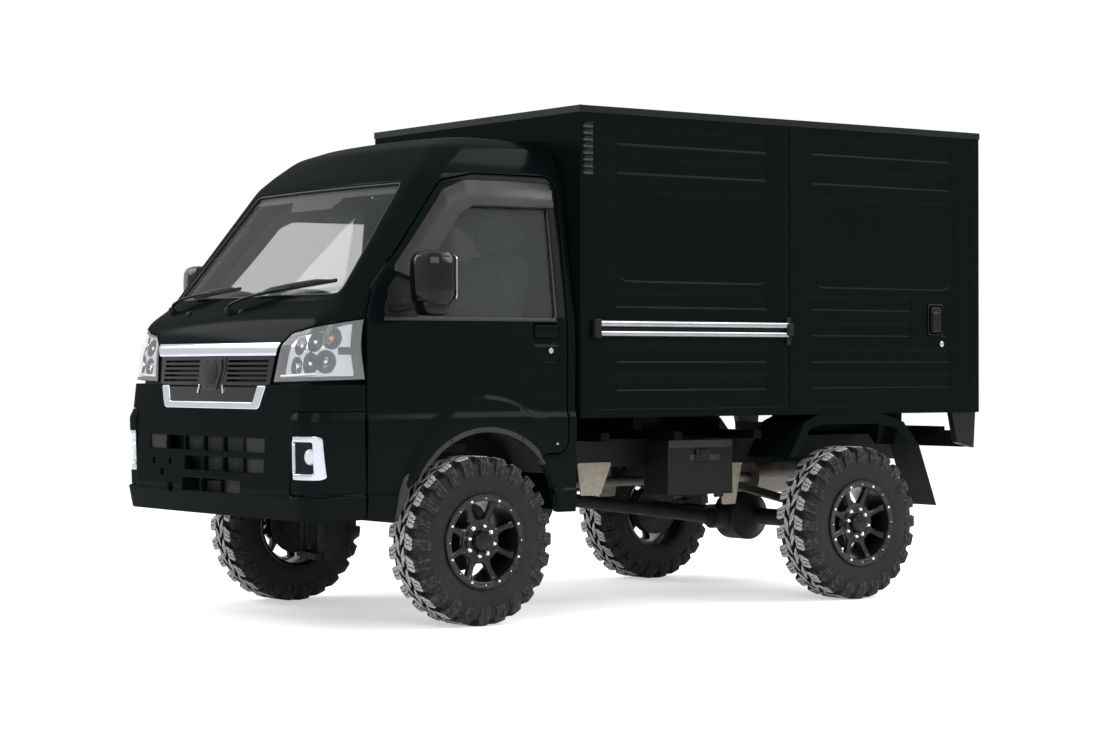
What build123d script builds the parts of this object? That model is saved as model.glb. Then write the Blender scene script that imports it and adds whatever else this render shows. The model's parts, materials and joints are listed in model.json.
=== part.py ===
from build123d import *
import os
from math import cos, pi, radians, sin

# Kei panel truck, millimetres. +Z up, the truck faces -Y, +X is its left side.
# The origin is on the ground, midway along the overall length and width.

# ---- driving dimensions ----
WHEELBASE = 1900.0
FRONT_OVERHANG = 752.0
REAR_OVERHANG = 743.0
BODY_HALF_WIDTH = 737.5
GROUND_CLEAR_BODY = 416.0
TYRE_RADIUS = 317.5
TYRE_WIDTH = 200.0
TRACK_HALF = 680.0
RIM_RADIUS = 152.0
RIM_LIP_RADIUS = 176.0
KINGPIN_X = 545.0
PANEL_GAP = 6.0
CAB_WALL = 34.0
BUMPER_WALL = 26.0
GLASS_THICK = 5.0
GLASS_GAP = 3.0
FLOOR_Z = 560.0
FLOOR_THICK = 20.0
SEAT_BASE_Z = 775.0
BOX_HALF_WIDTH = 735.0
BOX_FLOOR_Z = 770.0
BOX_TOP_Z = 1975.0
BOX_WALL = 30.0
BOX_FLOOR_THICK = 24.0
CAB_LENGTH_BEHIND_AXLE = 462.0
CAB_BOX_GAP = 12.0
RAIL_OUTER_X = 410.0
RAIL_WIDTH = 50.0
RAIL_BOTTOM_Z = 564.0
RAIL_TOP_Z = 675.0
REST_GAP = 0.3

# ---- derived stations ----
FRONT_AXLE_Y = -(WHEELBASE + FRONT_OVERHANG + REAR_OVERHANG) / 2 + FRONT_OVERHANG
REAR_AXLE_Y = FRONT_AXLE_Y + WHEELBASE
AXLE_Z = TYRE_RADIUS
FRONT_Y = FRONT_AXLE_Y - FRONT_OVERHANG
REAR_Y = REAR_AXLE_Y + REAR_OVERHANG
SIDES = {"left": 1, "right": -1}


# ---- helpers ----
def st(behind_front_axle):
    return FRONT_AXLE_Y + behind_front_axle


def block(x0, x1, y0, y1, z0, z1):
    solid = Box(x1 - x0, y1 - y0, z1 - z0, align=(Align.MIN, Align.MIN, Align.MIN))
    return Pos(x0, y0, z0) * solid


def rounded(points, radius):
    face = make_face(Polyline(*points, close=True))
    return fillet(face.vertices(), radius) if radius else face


def cornered(points, cut):
    return chamfer(make_face(Polyline(*points, close=True)).vertices(), cut)


def side_cut(points, x0, x1, radius=0):
    plane = Plane((x0, 0, 0), x_dir=(0, 1, 0), z_dir=(1, 0, 0))
    return extrude(plane * rounded(points, radius), amount=x1 - x0)


def front_cut(points, y0, y1, radius=0):
    plane = Plane((0, y0, 0), x_dir=(1, 0, 0), z_dir=(0, -1, 0))
    return extrude(plane * rounded(points, radius), amount=y0 - y1)


def plan_cut(points, z0, z1, radius=0):
    return extrude(Plane.XY.offset(z0) * rounded(points, radius), amount=z1 - z0)


def rod(start, end, radius):
    direction = Vector(*end) - Vector(*start)
    plane = Plane(start, z_dir=direction)
    return extrude(plane * Circle(radius), amount=direction.length)


def both(solid):
    return solid + mirror(solid, about=Plane.YZ)


def write(name, shape):
    export_step(shape, f"parts/{name}.step")


# ---- cab form: plan outlines stacked up the height ----
# z, half width, front offset from the front axle, sweep of the front, corner radius, rear offset
CAB_SECTIONS = (
    (GROUND_CLEAR_BODY, 723, -738, 12, 95, 462),
    (500, 731.5, -752, 14, 95, 462),
    (800, 731.5, -750, 16, 95, 462),
    (825, 726, -741, 16, 95, 462),
    (1040, 726, -714, 20, 95, 462),
    (1140, 723, -680, 26, 100, 462),
    (1205, 712, -608, 46, 105, 462),
    (1690, 642, -222, 34, 85, 446),
    (1745, 610, -165, 34, 90, 442),
    (1810, 560, -95, 36, 110, 436),
    (1850, 470, 10, 36, 120, 420),
    (1868, 330, 150, 20, 100, 380),
)
ROOF_SECTIONS_FROM = 7


def cab_outline(z, half, front, sweep, corner, rear, inset):
    half = half - inset
    nose = st(front) + inset
    shoulder = nose + sweep
    back = st(rear) - inset
    radius = corner - inset / 2
    bend = radius * (1 - sin(radians(45)))
    flat = half - radius
    edges = [
        ThreePointArc((-flat, shoulder), (0, nose), (flat, shoulder)),
        ThreePointArc((flat, shoulder), (half - bend, shoulder + bend), (half, shoulder + radius)),
        Line((half, shoulder + radius), (half, back)),
        Line((half, back), (-half, back)),
        Line((-half, back), (-half, shoulder + radius)),
        ThreePointArc((-half, shoulder + radius), (-half + bend, shoulder + bend), (-flat, shoulder)),
    ]
    return Plane.XY.offset(z) * make_face(edges)


def cab_form(inset, open_bottom=False):
    faces = []
    for row, (z, half, front, sweep, corner, rear) in enumerate(CAB_SECTIONS):
        level = z - inset if row >= ROOF_SECTIONS_FROM else z
        if row == 0 and open_bottom:
            level = z - 1
        faces.append(cab_outline(level, half, front, sweep, corner, rear, inset))
    return loft(faces, ruled=True)


# ---- front panel outlines (x, z) ----
BUMPER_TOP_Z = 908.0
DOOR_FRONT = -484.0
DOOR_FRONT_GAP = 8.0
DOOR_REAR = 423.0
DOOR_BOTTOM_REAR = 636.0
LAMP_OUTLINE = ((448, 915), (740, 930), (740, 1135), (530, 1095), (478, 1048))
GRILLE_OUTLINE = ((-446, 1034), (-425, 900), (425, 900), (446, 1034))
CHROME_OUTLINE = ((-404, 900), (-372, 812), (372, 812), (404, 900))
GRILLE_PANEL = ((-441, 1010), (-425, 900), (425, 900), (441, 1010))
BAR_OUTLINE = ((-470, 1060), (-448, 1010), (448, 1010), (470, 1060))

# ---- door outline (offset from the front axle, z) ----
DOOR_TOP_FRONT = (-118, 1664)
DOOR_OUTLINE = (
    (DOOR_FRONT, GROUND_CLEAR_BODY - 5),
    (DOOR_FRONT, 1150),
    (-447, 1271),
    (-306, 1429),
    DOOR_TOP_FRONT,
    (40, 1700),
    (395, 1700),
    (DOOR_REAR, 1400),
    (DOOR_REAR, DOOR_BOTTOM_REAR),
    (300, DOOR_BOTTOM_REAR),
    (300, GROUND_CLEAR_BODY - 5),
)
WINDOW_OUTLINE = ((-395, 1150), (-370, 1250), (-85, 1600), (0, 1650), (360, 1650), (372, 1560), (372, 1150))
ARCH_CENTRE = (43.0, 390.0)
ARCH_RADIUS = 332.0
ARCH_ARC_END = 137.0
ARCH_FRONT = ((-303, 525), (-364, 380))
LIP_WIDTH = 42.0


def placed(points):
    return [(st(y), z) for y, z in points]


def arch_cutter(x0, x1, grow=0.0):
    cy = st(ARCH_CENTRE[0])
    cz = ARCH_CENTRE[1]
    radius = ARCH_RADIUS + grow
    (front_y, front_z), (foot_y, foot_z) = ARCH_FRONT
    turn = radians(ARCH_ARC_END)
    crown = radians(ARCH_ARC_END / 2)
    end = (cy + radius * cos(turn), cz + radius * sin(turn))
    edges = [
        Line((cy + radius, foot_z), (cy + radius, cz)),
        ThreePointArc((cy + radius, cz), (cy + radius * cos(crown), cz + radius * sin(crown)), end),
        Line(end, (st(front_y) - grow, front_z)),
        Line((st(front_y) - grow, front_z), (st(foot_y) - grow, foot_z)),
        Line((st(foot_y) - grow, foot_z), (cy + radius, foot_z)),
    ]
    plane = Plane((x0, 0, 0), x_dir=(0, 1, 0), z_dir=(1, 0, 0))
    return extrude(plane * make_face(edges), amount=x1 - x0)


def door_prism(side, grow):
    outer = 760.0
    inner = 560.0
    plane = Plane((inner, 0, 0), x_dir=(0, 1, 0), z_dir=(1, 0, 0))
    face = make_face(Polyline(*placed(DOOR_OUTLINE), close=True))
    if grow:
        face = offset(face, grow, kind=Kind.INTERSECTION)
    prism = extrude(plane * face, amount=outer - inner)
    return prism if side > 0 else mirror(prism, about=Plane.YZ)


# ---- cab body ----
ROOF_SEAM_Z = 1672.0
POST_GAP = 16.0
POST_DEPTH = 48.0
SILL_X = 640.0
SILL_FRONT = 372.0
BULKHEAD_FRONT = -690.0
RISER_FRONT = -190.0


def cab_wall():
    return cab_form(0) - cab_form(CAB_WALL, open_bottom=True)


def window_prism(side, grow):
    face = fillet(make_face(Polyline(*placed(WINDOW_OUTLINE), close=True)).vertices(), 22)
    if grow:
        face = offset(face, grow)
    prism = extrude(Plane((540, 0, 0), x_dir=(0, 1, 0), z_dir=(1, 0, 0)) * face, amount=220)
    return prism if side > 0 else mirror(prism, about=Plane.YZ)


def windscreen_prism(grow):
    w = ((-622 - grow, 1236 - grow), (622 + grow, 1236 - grow), (540 + grow, 1664 + grow), (-540 - grow, 1664 + grow))
    return front_cut(w, st(-760), st(-60), 36 + grow)


def rear_window_prism(grow):
    w = ((-500 - grow, 1180 - grow), (500 + grow, 1180 - grow), (470 + grow, 1560 + grow), (-470 - grow, 1560 + grow))
    return front_cut(w, st(380), st(480), 36 + grow)


def front_prism(outline, grow, radius=0):
    face = make_face(Polyline(*outline, close=True))
    if grow:
        face = offset(face, grow, kind=Kind.INTERSECTION)
    if radius:
        face = fillet(face.vertices(), radius)
    plane = Plane((0, st(-780), 0), x_dir=(1, 0, 0), z_dir=(0, -1, 0))
    return extrude(plane * face, amount=-(780 + DOOR_FRONT - DOOR_FRONT_GAP))


def lamp_prisms(grow):
    return both(front_prism(LAMP_OUTLINE, grow))


def front_zone():
    # what lies ahead of the door's front seam and below the lamps
    return block(-800, 800, FRONT_Y - 20, st(DOOR_FRONT - DOOR_FRONT_GAP), GROUND_CLEAR_BODY - 10, BUMPER_TOP_Z)


def door_post():
    # box-section post behind the lamp, which carries the door hinges
    rear = st(DOOR_FRONT) - POST_GAP
    post = block(664, 696, rear - POST_DEPTH, rear, GROUND_CLEAR_BODY + 6, 1140)
    foot = block(600, 680, rear - POST_DEPTH, rear, FLOOR_Z + FLOOR_THICK + REST_GAP, FLOOR_Z + 80)
    head = block(650, 700, rear - POST_DEPTH, rear, 1139, 1200) & cab_form(CAB_WALL - 6, True)
    return ((post + foot) & cab_form(CAB_WALL + 2, True)) + head


def sill():
    # closed corner below the door's rear edge
    rear = st(CAB_LENGTH_BEHIND_AXLE)
    corner = block(SILL_X, BODY_HALF_WIDTH, st(SILL_FRONT), rear - 5, GROUND_CLEAR_BODY + 4, SEAT_BASE_Z)
    return corner & cab_form(1)


def cab_skin(wall):
    # outer panels with the doors, windows, lamps, grille and wheel arches cut out
    ahead_of_door = st(DOOR_FRONT - DOOR_FRONT_GAP)
    skin = wall - block(-800, 800, FRONT_Y - 20, ahead_of_door, 300, BUMPER_TOP_Z + GLASS_GAP)
    skin = skin - windscreen_prism(0) - rear_window_prism(0)
    skin = skin - lamp_prisms(GLASS_GAP)
    skin = skin - front_prism(BAR_OUTLINE, REST_GAP) - front_prism(GRILLE_OUTLINE, REST_GAP)
    rear = st(CAB_LENGTH_BEHIND_AXLE)
    skin = skin - block(-SILL_X, SILL_X, st(380), rear + 5, 300, SEAT_BASE_Z - FLOOR_THICK)
    skin = skin + both(sill())
    for side in SIDES.values():
        skin = skin - side_scale(arch_cutter(380, 800, 0), side)
        skin = skin - door_prism(side, PANEL_GAP)
    return skin


def above_seam():
    return block(-800, 800, FRONT_Y - 20, st(500), ROOF_SEAM_Z, 2000)


def cab_shell(skin):
    # nose with the screen pillars, and back wall with the door pillars
    shell = skin - above_seam()
    shell = shell + both(door_post())
    for level in HINGE_LEVELS:
        shell = shell + both(hinge_fixed(level))
    return shell


def cab_roof(skin):
    return skin & above_seam()


WHEEL_HOUSE_X = 440.0
WHEEL_HOUSE_SIDE = 684.0
WHEEL_HOUSE_ROOM = 26.0
WHEEL_HOUSE_SHEET = 8.0
TURN_FRONT = -292.0
TOWER_LOW = 645.0
TOWER_HIGH = 675.0
TOWER_HALF = 50.0


def wheel_house():
    # sheet over the wheel, with room for the turned tyre and a gap around the strut tower
    sheet = WHEEL_HOUSE_SHEET
    hollow = arch_cutter(WHEEL_HOUSE_X, BODY_HALF_WIDTH, WHEEL_HOUSE_ROOM)
    shell = arch_cutter(WHEEL_HOUSE_X - sheet, WHEEL_HOUSE_SIDE, WHEEL_HOUSE_ROOM + sheet)
    shell = shell & block(0, BODY_HALF_WIDTH, st(-500), st(500), FLOOR_Z, SEAT_BASE_Z)
    tower = block(
        WHEEL_HOUSE_X - 2 * sheet,
        WHEEL_HOUSE_X + sheet,
        FRONT_AXLE_Y - TOWER_HALF - REST_GAP,
        FRONT_AXLE_Y + TOWER_HALF + REST_GAP,
        TOWER_LOW - REST_GAP,
        TOWER_HIGH + REST_GAP,
    )
    return shell - hollow - tower, hollow


def cab_floor():
    half = BODY_HALF_WIDTH - CAB_WALL
    front = st(BULKHEAD_FRONT)
    seat_front = st(RISER_FRONT)
    rear = st(CAB_LENGTH_BEHIND_AXLE)
    foot = block(-half, half, front, seat_front, FLOOR_Z, FLOOR_Z + FLOOR_THICK)
    riser = block(-half, half, seat_front, seat_front + FLOOR_THICK, FLOOR_Z, SEAT_BASE_Z)
    deck = block(-half, half, seat_front, rear, SEAT_BASE_Z - FLOOR_THICK, SEAT_BASE_Z)
    bulkhead = block(-half, half, front, front + FLOOR_THICK, FLOOR_Z, BUMPER_TOP_Z + 60)
    tub = (foot + riser + deck + bulkhead) & cab_form(CAB_WALL + REST_GAP, open_bottom=True)
    post_rear = st(DOOR_FRONT) - POST_GAP + REST_GAP
    post_gap = block(663, 710, post_rear - POST_DEPTH - 2 * REST_GAP, post_rear, FLOOR_Z - 10, BUMPER_TOP_Z + 80)
    sill_gap = block(SILL_X - REST_GAP, 710, st(SILL_FRONT) - REST_GAP, rear + 5, FLOOR_Z, SEAT_BASE_Z + 5)
    swing_gap = block(686, 710, st(DOOR_FRONT) - POST_GAP, st(DOOR_FRONT) + 60, FLOOR_Z - 1, FLOOR_Z + FLOOR_THICK + 1)
    tub = tub - both(post_gap) - both(sill_gap) - both(swing_gap)
    turn_room = block(WHEEL_HOUSE_X, half + 1, st(TURN_FRONT), st(-150), FLOOR_Z - 1, FLOOR_Z + FLOOR_THICK + 1)
    house, hollow = wheel_house()
    tub = tub - both(hollow) - both(turn_room) + both(house)
    rear_mount = block(-RAIL_OUTER_X, RAIL_OUTER_X, st(380), st(430), RAIL_TOP_Z, SEAT_BASE_Z - FLOOR_THICK)
    front_rail_top = RAIL_TOP_Z - FRONT_RAIL_DROP - 20
    front_mount = block(-RAIL_OUTER_X, RAIL_OUTER_X, st(-590), st(-540), front_rail_top, FLOOR_Z)
    return tub + rear_mount + front_mount


def side_scale(solid, side):
    return solid if side > 0 else mirror(solid, about=Plane.YZ)


# ---- ladder frame ----
RAIL_FRONT = -640.0
RAIL_REAR = 2560.0
FRONT_RAIL_DROP = 110.0
CROSSMEMBERS = (-600, 560, 1180, 1640, 2180, 2505)
BEAM_FRONT = RAIL_FRONT - 40.0
TOW_X = -290.0
TOW_Z = 506.0
TOW_RADIUS = 8.0
TOW_DEPTH = 36.0


def ladder_frame():
    low = RAIL_BOTTOM_Z - FRONT_RAIL_DROP
    height = RAIL_TOP_Z - RAIL_BOTTOM_Z
    outline = (
        (st(RAIL_FRONT), low),
        (st(-200), low),
        (st(-90), RAIL_BOTTOM_Z),
        (st(RAIL_REAR), RAIL_BOTTOM_Z),
        (st(RAIL_REAR), RAIL_TOP_Z),
        (st(-60), RAIL_TOP_Z),
        (st(-168), low + height - 20),
        (st(RAIL_FRONT), low + height - 20),
    )
    frame = both(side_cut(outline, RAIL_OUTER_X - RAIL_WIDTH, RAIL_OUTER_X))
    inner = RAIL_OUTER_X - RAIL_WIDTH + 5
    for offset_y in CROSSMEMBERS:
        drop = FRONT_RAIL_DROP if offset_y < -400 else 0
        frame = frame + block(
            -inner, inner, st(offset_y), st(offset_y + 50), RAIL_BOTTOM_Z - drop + 15, RAIL_TOP_Z - drop - 35
        )
    beam = block(-560, 560, st(RAIL_FRONT - 40), st(RAIL_FRONT), low + 10, low + 80)
    frame = frame + beam
    socket = rod((TOW_X, st(BEAM_FRONT) - 1, TOW_Z), (TOW_X, st(BEAM_FRONT) + TOW_DEPTH, TOW_Z), TOW_RADIUS)
    return frame - socket


# ---- front end ----
SLOT_ROWS = ((6, 654, 700, -440), (4, 578, 632, -160), (3, 497, 550, -160))
SLOT_PITCH = 148.0
SLOT_WALL = 12.0
FOG_OUTLINE = ((600, 560), (724, 560), (724, 718), (600, 718))
FOG_INNER = ((616, 582), (694, 582), (694, 696), (616, 696))


def front_bumper():
    skin = cab_form(0) - cab_form(BUMPER_WALL, open_bottom=True)
    bumper = skin & front_zone()
    bumper = bumper - front_prism(CHROME_OUTLINE, REST_GAP) - front_prism(GRILLE_OUTLINE, REST_GAP)
    for count, low, high, start in SLOT_ROWS:
        for column in range(count):
            left = start + column * SLOT_PITCH
            bumper = bumper - block(left, left + SLOT_PITCH - SLOT_WALL, FRONT_Y - 10, st(-650), low, high)
    bumper = bumper - both(front_prism(FOG_OUTLINE, REST_GAP, 10))
    bumper = bumper - rod((TOW_X, FRONT_Y - 5, TOW_Z), (TOW_X, st(-700), TOW_Z), TOW_RADIUS * 2)
    bracket = block(440, 540, FRONT_Y + 8, st(RAIL_FRONT - 40), 476, 520)
    for level in HINGE_LEVELS:
        notch = block(HINGE_X - 40, HINGE_X + 2, st(-540), st(-480), level - 20, level + 50)
        bumper = bumper - both(notch)
    return bumper + both(bracket & cab_form(BUMPER_WALL / 2, open_bottom=True))


def grille():
    panel = (cab_form(6) - cab_form(22)) & (front_prism(GRILLE_PANEL, -REST_GAP) + front_prism(CHROME_INNER, -REST_GAP))
    for row in range(SLAT_COUNT):
        low = SLAT_LOW + row * SLAT_PITCH
        for left, right in SLAT_SPANS:
            panel = panel - block(left, right, FRONT_Y - 10, st(-600), low, low + SLAT_OPEN)
    return panel


LAMP_DEPTH = 24.0
CHROME_INNER = ((-346, 894), (-326, 836), (326, 836), (346, 894))
SLAT_COUNT = 5
SLAT_LOW = 914.0
SLAT_PITCH = 18.0
SLAT_OPEN = 9.0
SLAT_SPANS = ((-400, -110), (110, 400))


def grille_frame():
    proud = cab_form(-6) - cab_form(10)
    bar = proud & front_prism(BAR_OUTLINE, 0)
    cup = front_prism(CHROME_OUTLINE, 0) - front_prism(CHROME_INNER, 0)
    return bar + (proud & cup)


def lamps_front():
    head = (cab_form(0) - cab_form(LAMP_DEPTH)) & lamp_prisms(0)
    ring = both(front_prism(FOG_OUTLINE, 0, 10) - front_prism(FOG_INNER, 0, 8))
    bezel = (cab_form(-2) - cab_form(24)) & ring
    back = (cab_form(16) - cab_form(24)) & both(front_prism(FOG_INNER, 1))
    return head + bezel + back


def cab_glass():
    screen = (cab_form(4) - cab_form(4 + GLASS_THICK)) & windscreen_prism(-REST_GAP)
    rear = (cab_form(4) - cab_form(4 + GLASS_THICK)) & rear_window_prism(-REST_GAP)
    return screen + rear


def dashboard():
    outline = (
        (st(-664), 900),
        (st(-664), 1130),
        (st(-600), 1190),
        (st(-470), 1200),
        (st(-360), 1160),
        (st(-330), 1050),
        (st(-380), 900),
        (st(-520), 840),
    )
    body = side_cut(outline, -640, 640, 12)
    return body & cab_form(CAB_WALL + REST_GAP, open_bottom=True)


WHEEL_CENTRE = (-340.0, -235.0, 1120.0)
STEERING_WHEEL_RADIUS = 185.0
WHEEL_GRIP_RADIUS = 13.5
COLUMN_FOOT = (-340.0, -345.0, 985.0)


def steering_wheel():
    centre = (WHEEL_CENTRE[0], st(WHEEL_CENTRE[1]), WHEEL_CENTRE[2])
    foot = (COLUMN_FOOT[0], st(COLUMN_FOOT[1]), COLUMN_FOOT[2])
    axis = Vector(*centre) - Vector(*foot)
    plane = Plane(centre, x_dir=(1, 0, 0), z_dir=axis)
    section = Plane.XZ * Pos(STEERING_WHEEL_RADIUS, 0) * RegularPolygon(WHEEL_GRIP_RADIUS, 8)
    rim = plane * revolve(section, Axis.Z)
    spokes = plane * Box(2 * STEERING_WHEEL_RADIUS, 34, 16)
    lower = plane * Pos(0, -STEERING_WHEEL_RADIUS / 2, 0) * Box(34, STEERING_WHEEL_RADIUS, 16)
    hub = plane * Cylinder(52, 40)
    return rim + spokes + lower + hub + (rod(foot, centre, 24) - dashboard())


SEAT_HALF = 235.0
SEAT_X = 340.0
BACK_TOP = 1430.0


def seats():
    outline = (
        (st(-150), SEAT_BASE_Z),
        (st(-150), 880),
        (st(-130), 905),
        (st(250), 880),
        (st(330), 1400),
        (st(350), BACK_TOP),
        (st(395), BACK_TOP),
        (st(410), 1380),
        (st(370), 860),
        (st(330), SEAT_BASE_Z),
    )
    seat = side_cut(outline, SEAT_X - SEAT_HALF, SEAT_X + SEAT_HALF, 8)
    head = block(SEAT_X - 120, SEAT_X + 120, st(325), st(400), BACK_TOP, BACK_TOP + 165)
    return both(seat + head)


# ---- wipers ----
WIPER_PIVOTS = (-560.0, -20.0)
BLADE_LENGTH = 400.0


def wipers():
    arms = None
    for pivot_x in WIPER_PIVOTS:
        base_y = st(-648)
        pivot = rod((pivot_x, base_y + 40, 1150), (pivot_x, base_y + 10, 1212), 9)
        sweep = rod((pivot_x, base_y + 10, 1206), (pivot_x + BLADE_LENGTH * 0.75, st(-622), 1262), 6)
        low = (pivot_x + BLADE_LENGTH * 0.3, st(-622), 1256)
        high = (pivot_x + BLADE_LENGTH * 1.2, st(-618), 1266)
        one = pivot + sweep + rod(low, high, 6)
        arms = one if arms is None else arms + one
    return arms - cab_form(0)


# ---- cargo box ----
BOX_FRONT = CAB_LENGTH_BEHIND_AXLE + CAB_BOX_GAP
BOX_REAR = WHEELBASE + REAR_OVERHANG - 15.5
SIDE_SEAM = 1538.0
SLEEPERS = (620, 985, 1400, 2440)
REAR_POST = 2574.0
SIDE_DOOR_LOW = BOX_FLOOR_Z + BOX_FLOOR_THICK + 12.0
SIDE_DOOR_HIGH = 1925.0
ROOF_RAIL_LOW = 1948.0
REAR_OPENING_HALF = 690.0
REAR_OPENING_LOW = 812.0
REAR_OPENING_HIGH = 1918.0
REAR_HINGE_X = REAR_OPENING_HALF + 8.0
REAR_HINGE_Y = BOX_REAR + 8.0
REAR_EYE_RADIUS = 7.5
REAR_HINGE_LEVELS = (900.0, 1340.0, 1780.0)
REAR_HINGE_HEIGHT = 60.0


PRESS_DEPTH = 5.0
FIELD_ROUND_FROM = 40.0
# fields pressed into the side walls: front, rear, low, high, corner radius
WALL_FIELDS = (
    (635, 1431, 1828, 1896, 26),
    (635, 1431, 1716, 1784, 26),
    (635, 1446, 1296, 1655, 84),
    (635, 1431, 1196, 1254, 22),
    (635, 1431, 1080, 1152, 22),
    (635, 1431, 982, 1042, 22),
    (635, 1431, 872, 932, 22),
)
DOOR_FIELDS = (
    (1644, 2464, 1836, 1902, 26),
    (1644, 2464, 1715, 1781, 26),
    (1651, 2480, 1289, 1663, 84),
    (1644, 2230, 1197, 1254, 22),
    (1644, 2230, 1091, 1148, 22),
    (1644, 2464, 982, 1040, 22),
    (1644, 2464, 876, 934, 22),
    (2287, 2464, 1090, 1246, 12),
)
# louvres in the front top corner of each side wall
LOUVRES = 8
LOUVRE_PITCH = 25.6
LOUVRE_LOW = 1712.0
LOUVRE_HEIGHT = 11.0
LOUVRE_FRONT = 486.0
LOUVRE_REAR = 539.0


def side_field(outline, x0, x1, corner):
    # prism across the side over the rectangle (front, rear, low, high): large corners round, small ones cut
    front, rear, low, high = outline
    points = placed(((front, low), (rear, low), (rear, high), (front, high)))
    if corner > FIELD_ROUND_FROM:
        return side_cut(points, x0, x1, corner)
    plane = Plane((x0, 0, 0), x_dir=(0, 1, 0), z_dir=(1, 0, 0))
    return extrude(plane * cornered(points, corner), amount=x1 - x0)


def pressed(fields):
    # the pressed fields of both sides as one cutter
    cutter = None
    for front, rear, low, high, corner in fields:
        outline = (front, rear, low, high)
        one = both(side_field(outline, BOX_HALF_WIDTH - PRESS_DEPTH, BOX_HALF_WIDTH + 1, corner))
        cutter = one if cutter is None else cutter + one
    return cutter


def louvres():
    cutter = None
    for number in range(LOUVRES):
        low = LOUVRE_LOW + number * LOUVRE_PITCH
        slot = both(
            block(
                BOX_HALF_WIDTH - PRESS_DEPTH,
                BOX_HALF_WIDTH + 1,
                st(LOUVRE_FRONT),
                st(LOUVRE_REAR),
                low,
                low + LOUVRE_HEIGHT,
            )
        )
        cutter = slot if cutter is None else cutter + slot
    return cutter


def cargo_box():
    outer = block(-BOX_HALF_WIDTH, BOX_HALF_WIDTH, st(BOX_FRONT), st(BOX_REAR), BOX_FLOOR_Z, ROOF_RAIL_LOW)
    wall = BOX_WALL
    inner = block(
        -BOX_HALF_WIDTH + wall,
        BOX_HALF_WIDTH - wall,
        st(BOX_FRONT) + wall,
        st(BOX_REAR) - wall,
        BOX_FLOOR_Z + BOX_FLOOR_THICK,
        ROOF_RAIL_LOW - wall + 10,
    )
    shell = outer - inner
    for offset_y in SLEEPERS:
        sleeper = block(-RAIL_OUTER_X, RAIL_OUTER_X, st(offset_y), st(offset_y + 40), RAIL_TOP_Z, BOX_FLOOR_Z)
        arm = block(
            RAIL_OUTER_X - 5, BOX_HALF_WIDTH - 60, st(offset_y), st(offset_y + 40), RAIL_TOP_Z, RAIL_TOP_Z + 35
        )
        shell = shell + sleeper + both(arm)
    shell = shell - block(-900, 900, st(SIDE_SEAM), st(REAR_POST), SIDE_DOOR_LOW, SIDE_DOOR_HIGH)
    shell = shell - block(
        -REAR_OPENING_HALF,
        REAR_OPENING_HALF,
        st(BOX_REAR) - wall - 5,
        st(BOX_REAR) + 5,
        REAR_OPENING_LOW,
        REAR_OPENING_HIGH,
    )
    for level in REAR_HINGE_LEVELS:
        pin = rod(
            (REAR_HINGE_X, st(REAR_HINGE_Y), level - 12),
            (REAR_HINGE_X, st(REAR_HINGE_Y), level + REAR_HINGE_HEIGHT + 12),
            3.7,
        )
        for low in (level - 12, level + REAR_HINGE_HEIGHT):
            knuckle_end = rod((REAR_HINGE_X, st(REAR_HINGE_Y), low), (REAR_HINGE_X, st(REAR_HINGE_Y), low + 12), REAR_EYE_RADIUS)
            leaf = block(REAR_HINGE_X, REAR_HINGE_X + 28, st(BOX_REAR) - 2, st(BOX_REAR) + 6, low, low + 12)
            shell = shell + both(knuckle_end + leaf)
        shell = shell + both(pin)
    return shell - pressed(WALL_FIELDS) - louvres()


def roof_rail():
    rim = block(-738, 738, st(BOX_FRONT) - 3, st(BOX_REAR) + 3, ROOF_RAIL_LOW, BOX_TOP_Z)
    return rim


# handle of the sliding door: front, rear, low, high
SLIDE_HANDLE = (2326, 2407, 1105, 1227)
SLIDE_HANDLE_PROUD = 9.0
SLIDE_HANDLE_CORNER = 10.0
SLIDE_LOCK = (2403, 1063)


def sliding_door(side):
    gap = 4.0
    x0 = BOX_HALF_WIDTH - BOX_WALL
    door = block(
        x0, BOX_HALF_WIDTH, st(SIDE_SEAM) + gap, st(REAR_POST) - gap, SIDE_DOOR_LOW + REST_GAP, SIDE_DOOR_HIGH - gap
    )
    floor_x = BOX_HALF_WIDTH - PRESS_DEPTH
    handle = side_field(SLIDE_HANDLE, floor_x - 1, floor_x + SLIDE_HANDLE_PROUD, SLIDE_HANDLE_CORNER)
    lock_y, lock_z = SLIDE_LOCK
    lock = rod((BOX_HALF_WIDTH - 2, st(lock_y), lock_z), (BOX_HALF_WIDTH + 2, st(lock_y), lock_z), 9)
    return side_scale(door - pressed(DOOR_FIELDS) + handle + lock, side)


def door_rails():
    channel = block(BOX_HALF_WIDTH, BOX_HALF_WIDTH + 22, st(552), st(1520), 1084, 1146)
    channel = channel - block(BOX_HALF_WIDTH + 8, BOX_HALF_WIDTH + 30, st(600), st(1500), 1104, 1126)
    return both(channel)


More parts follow.
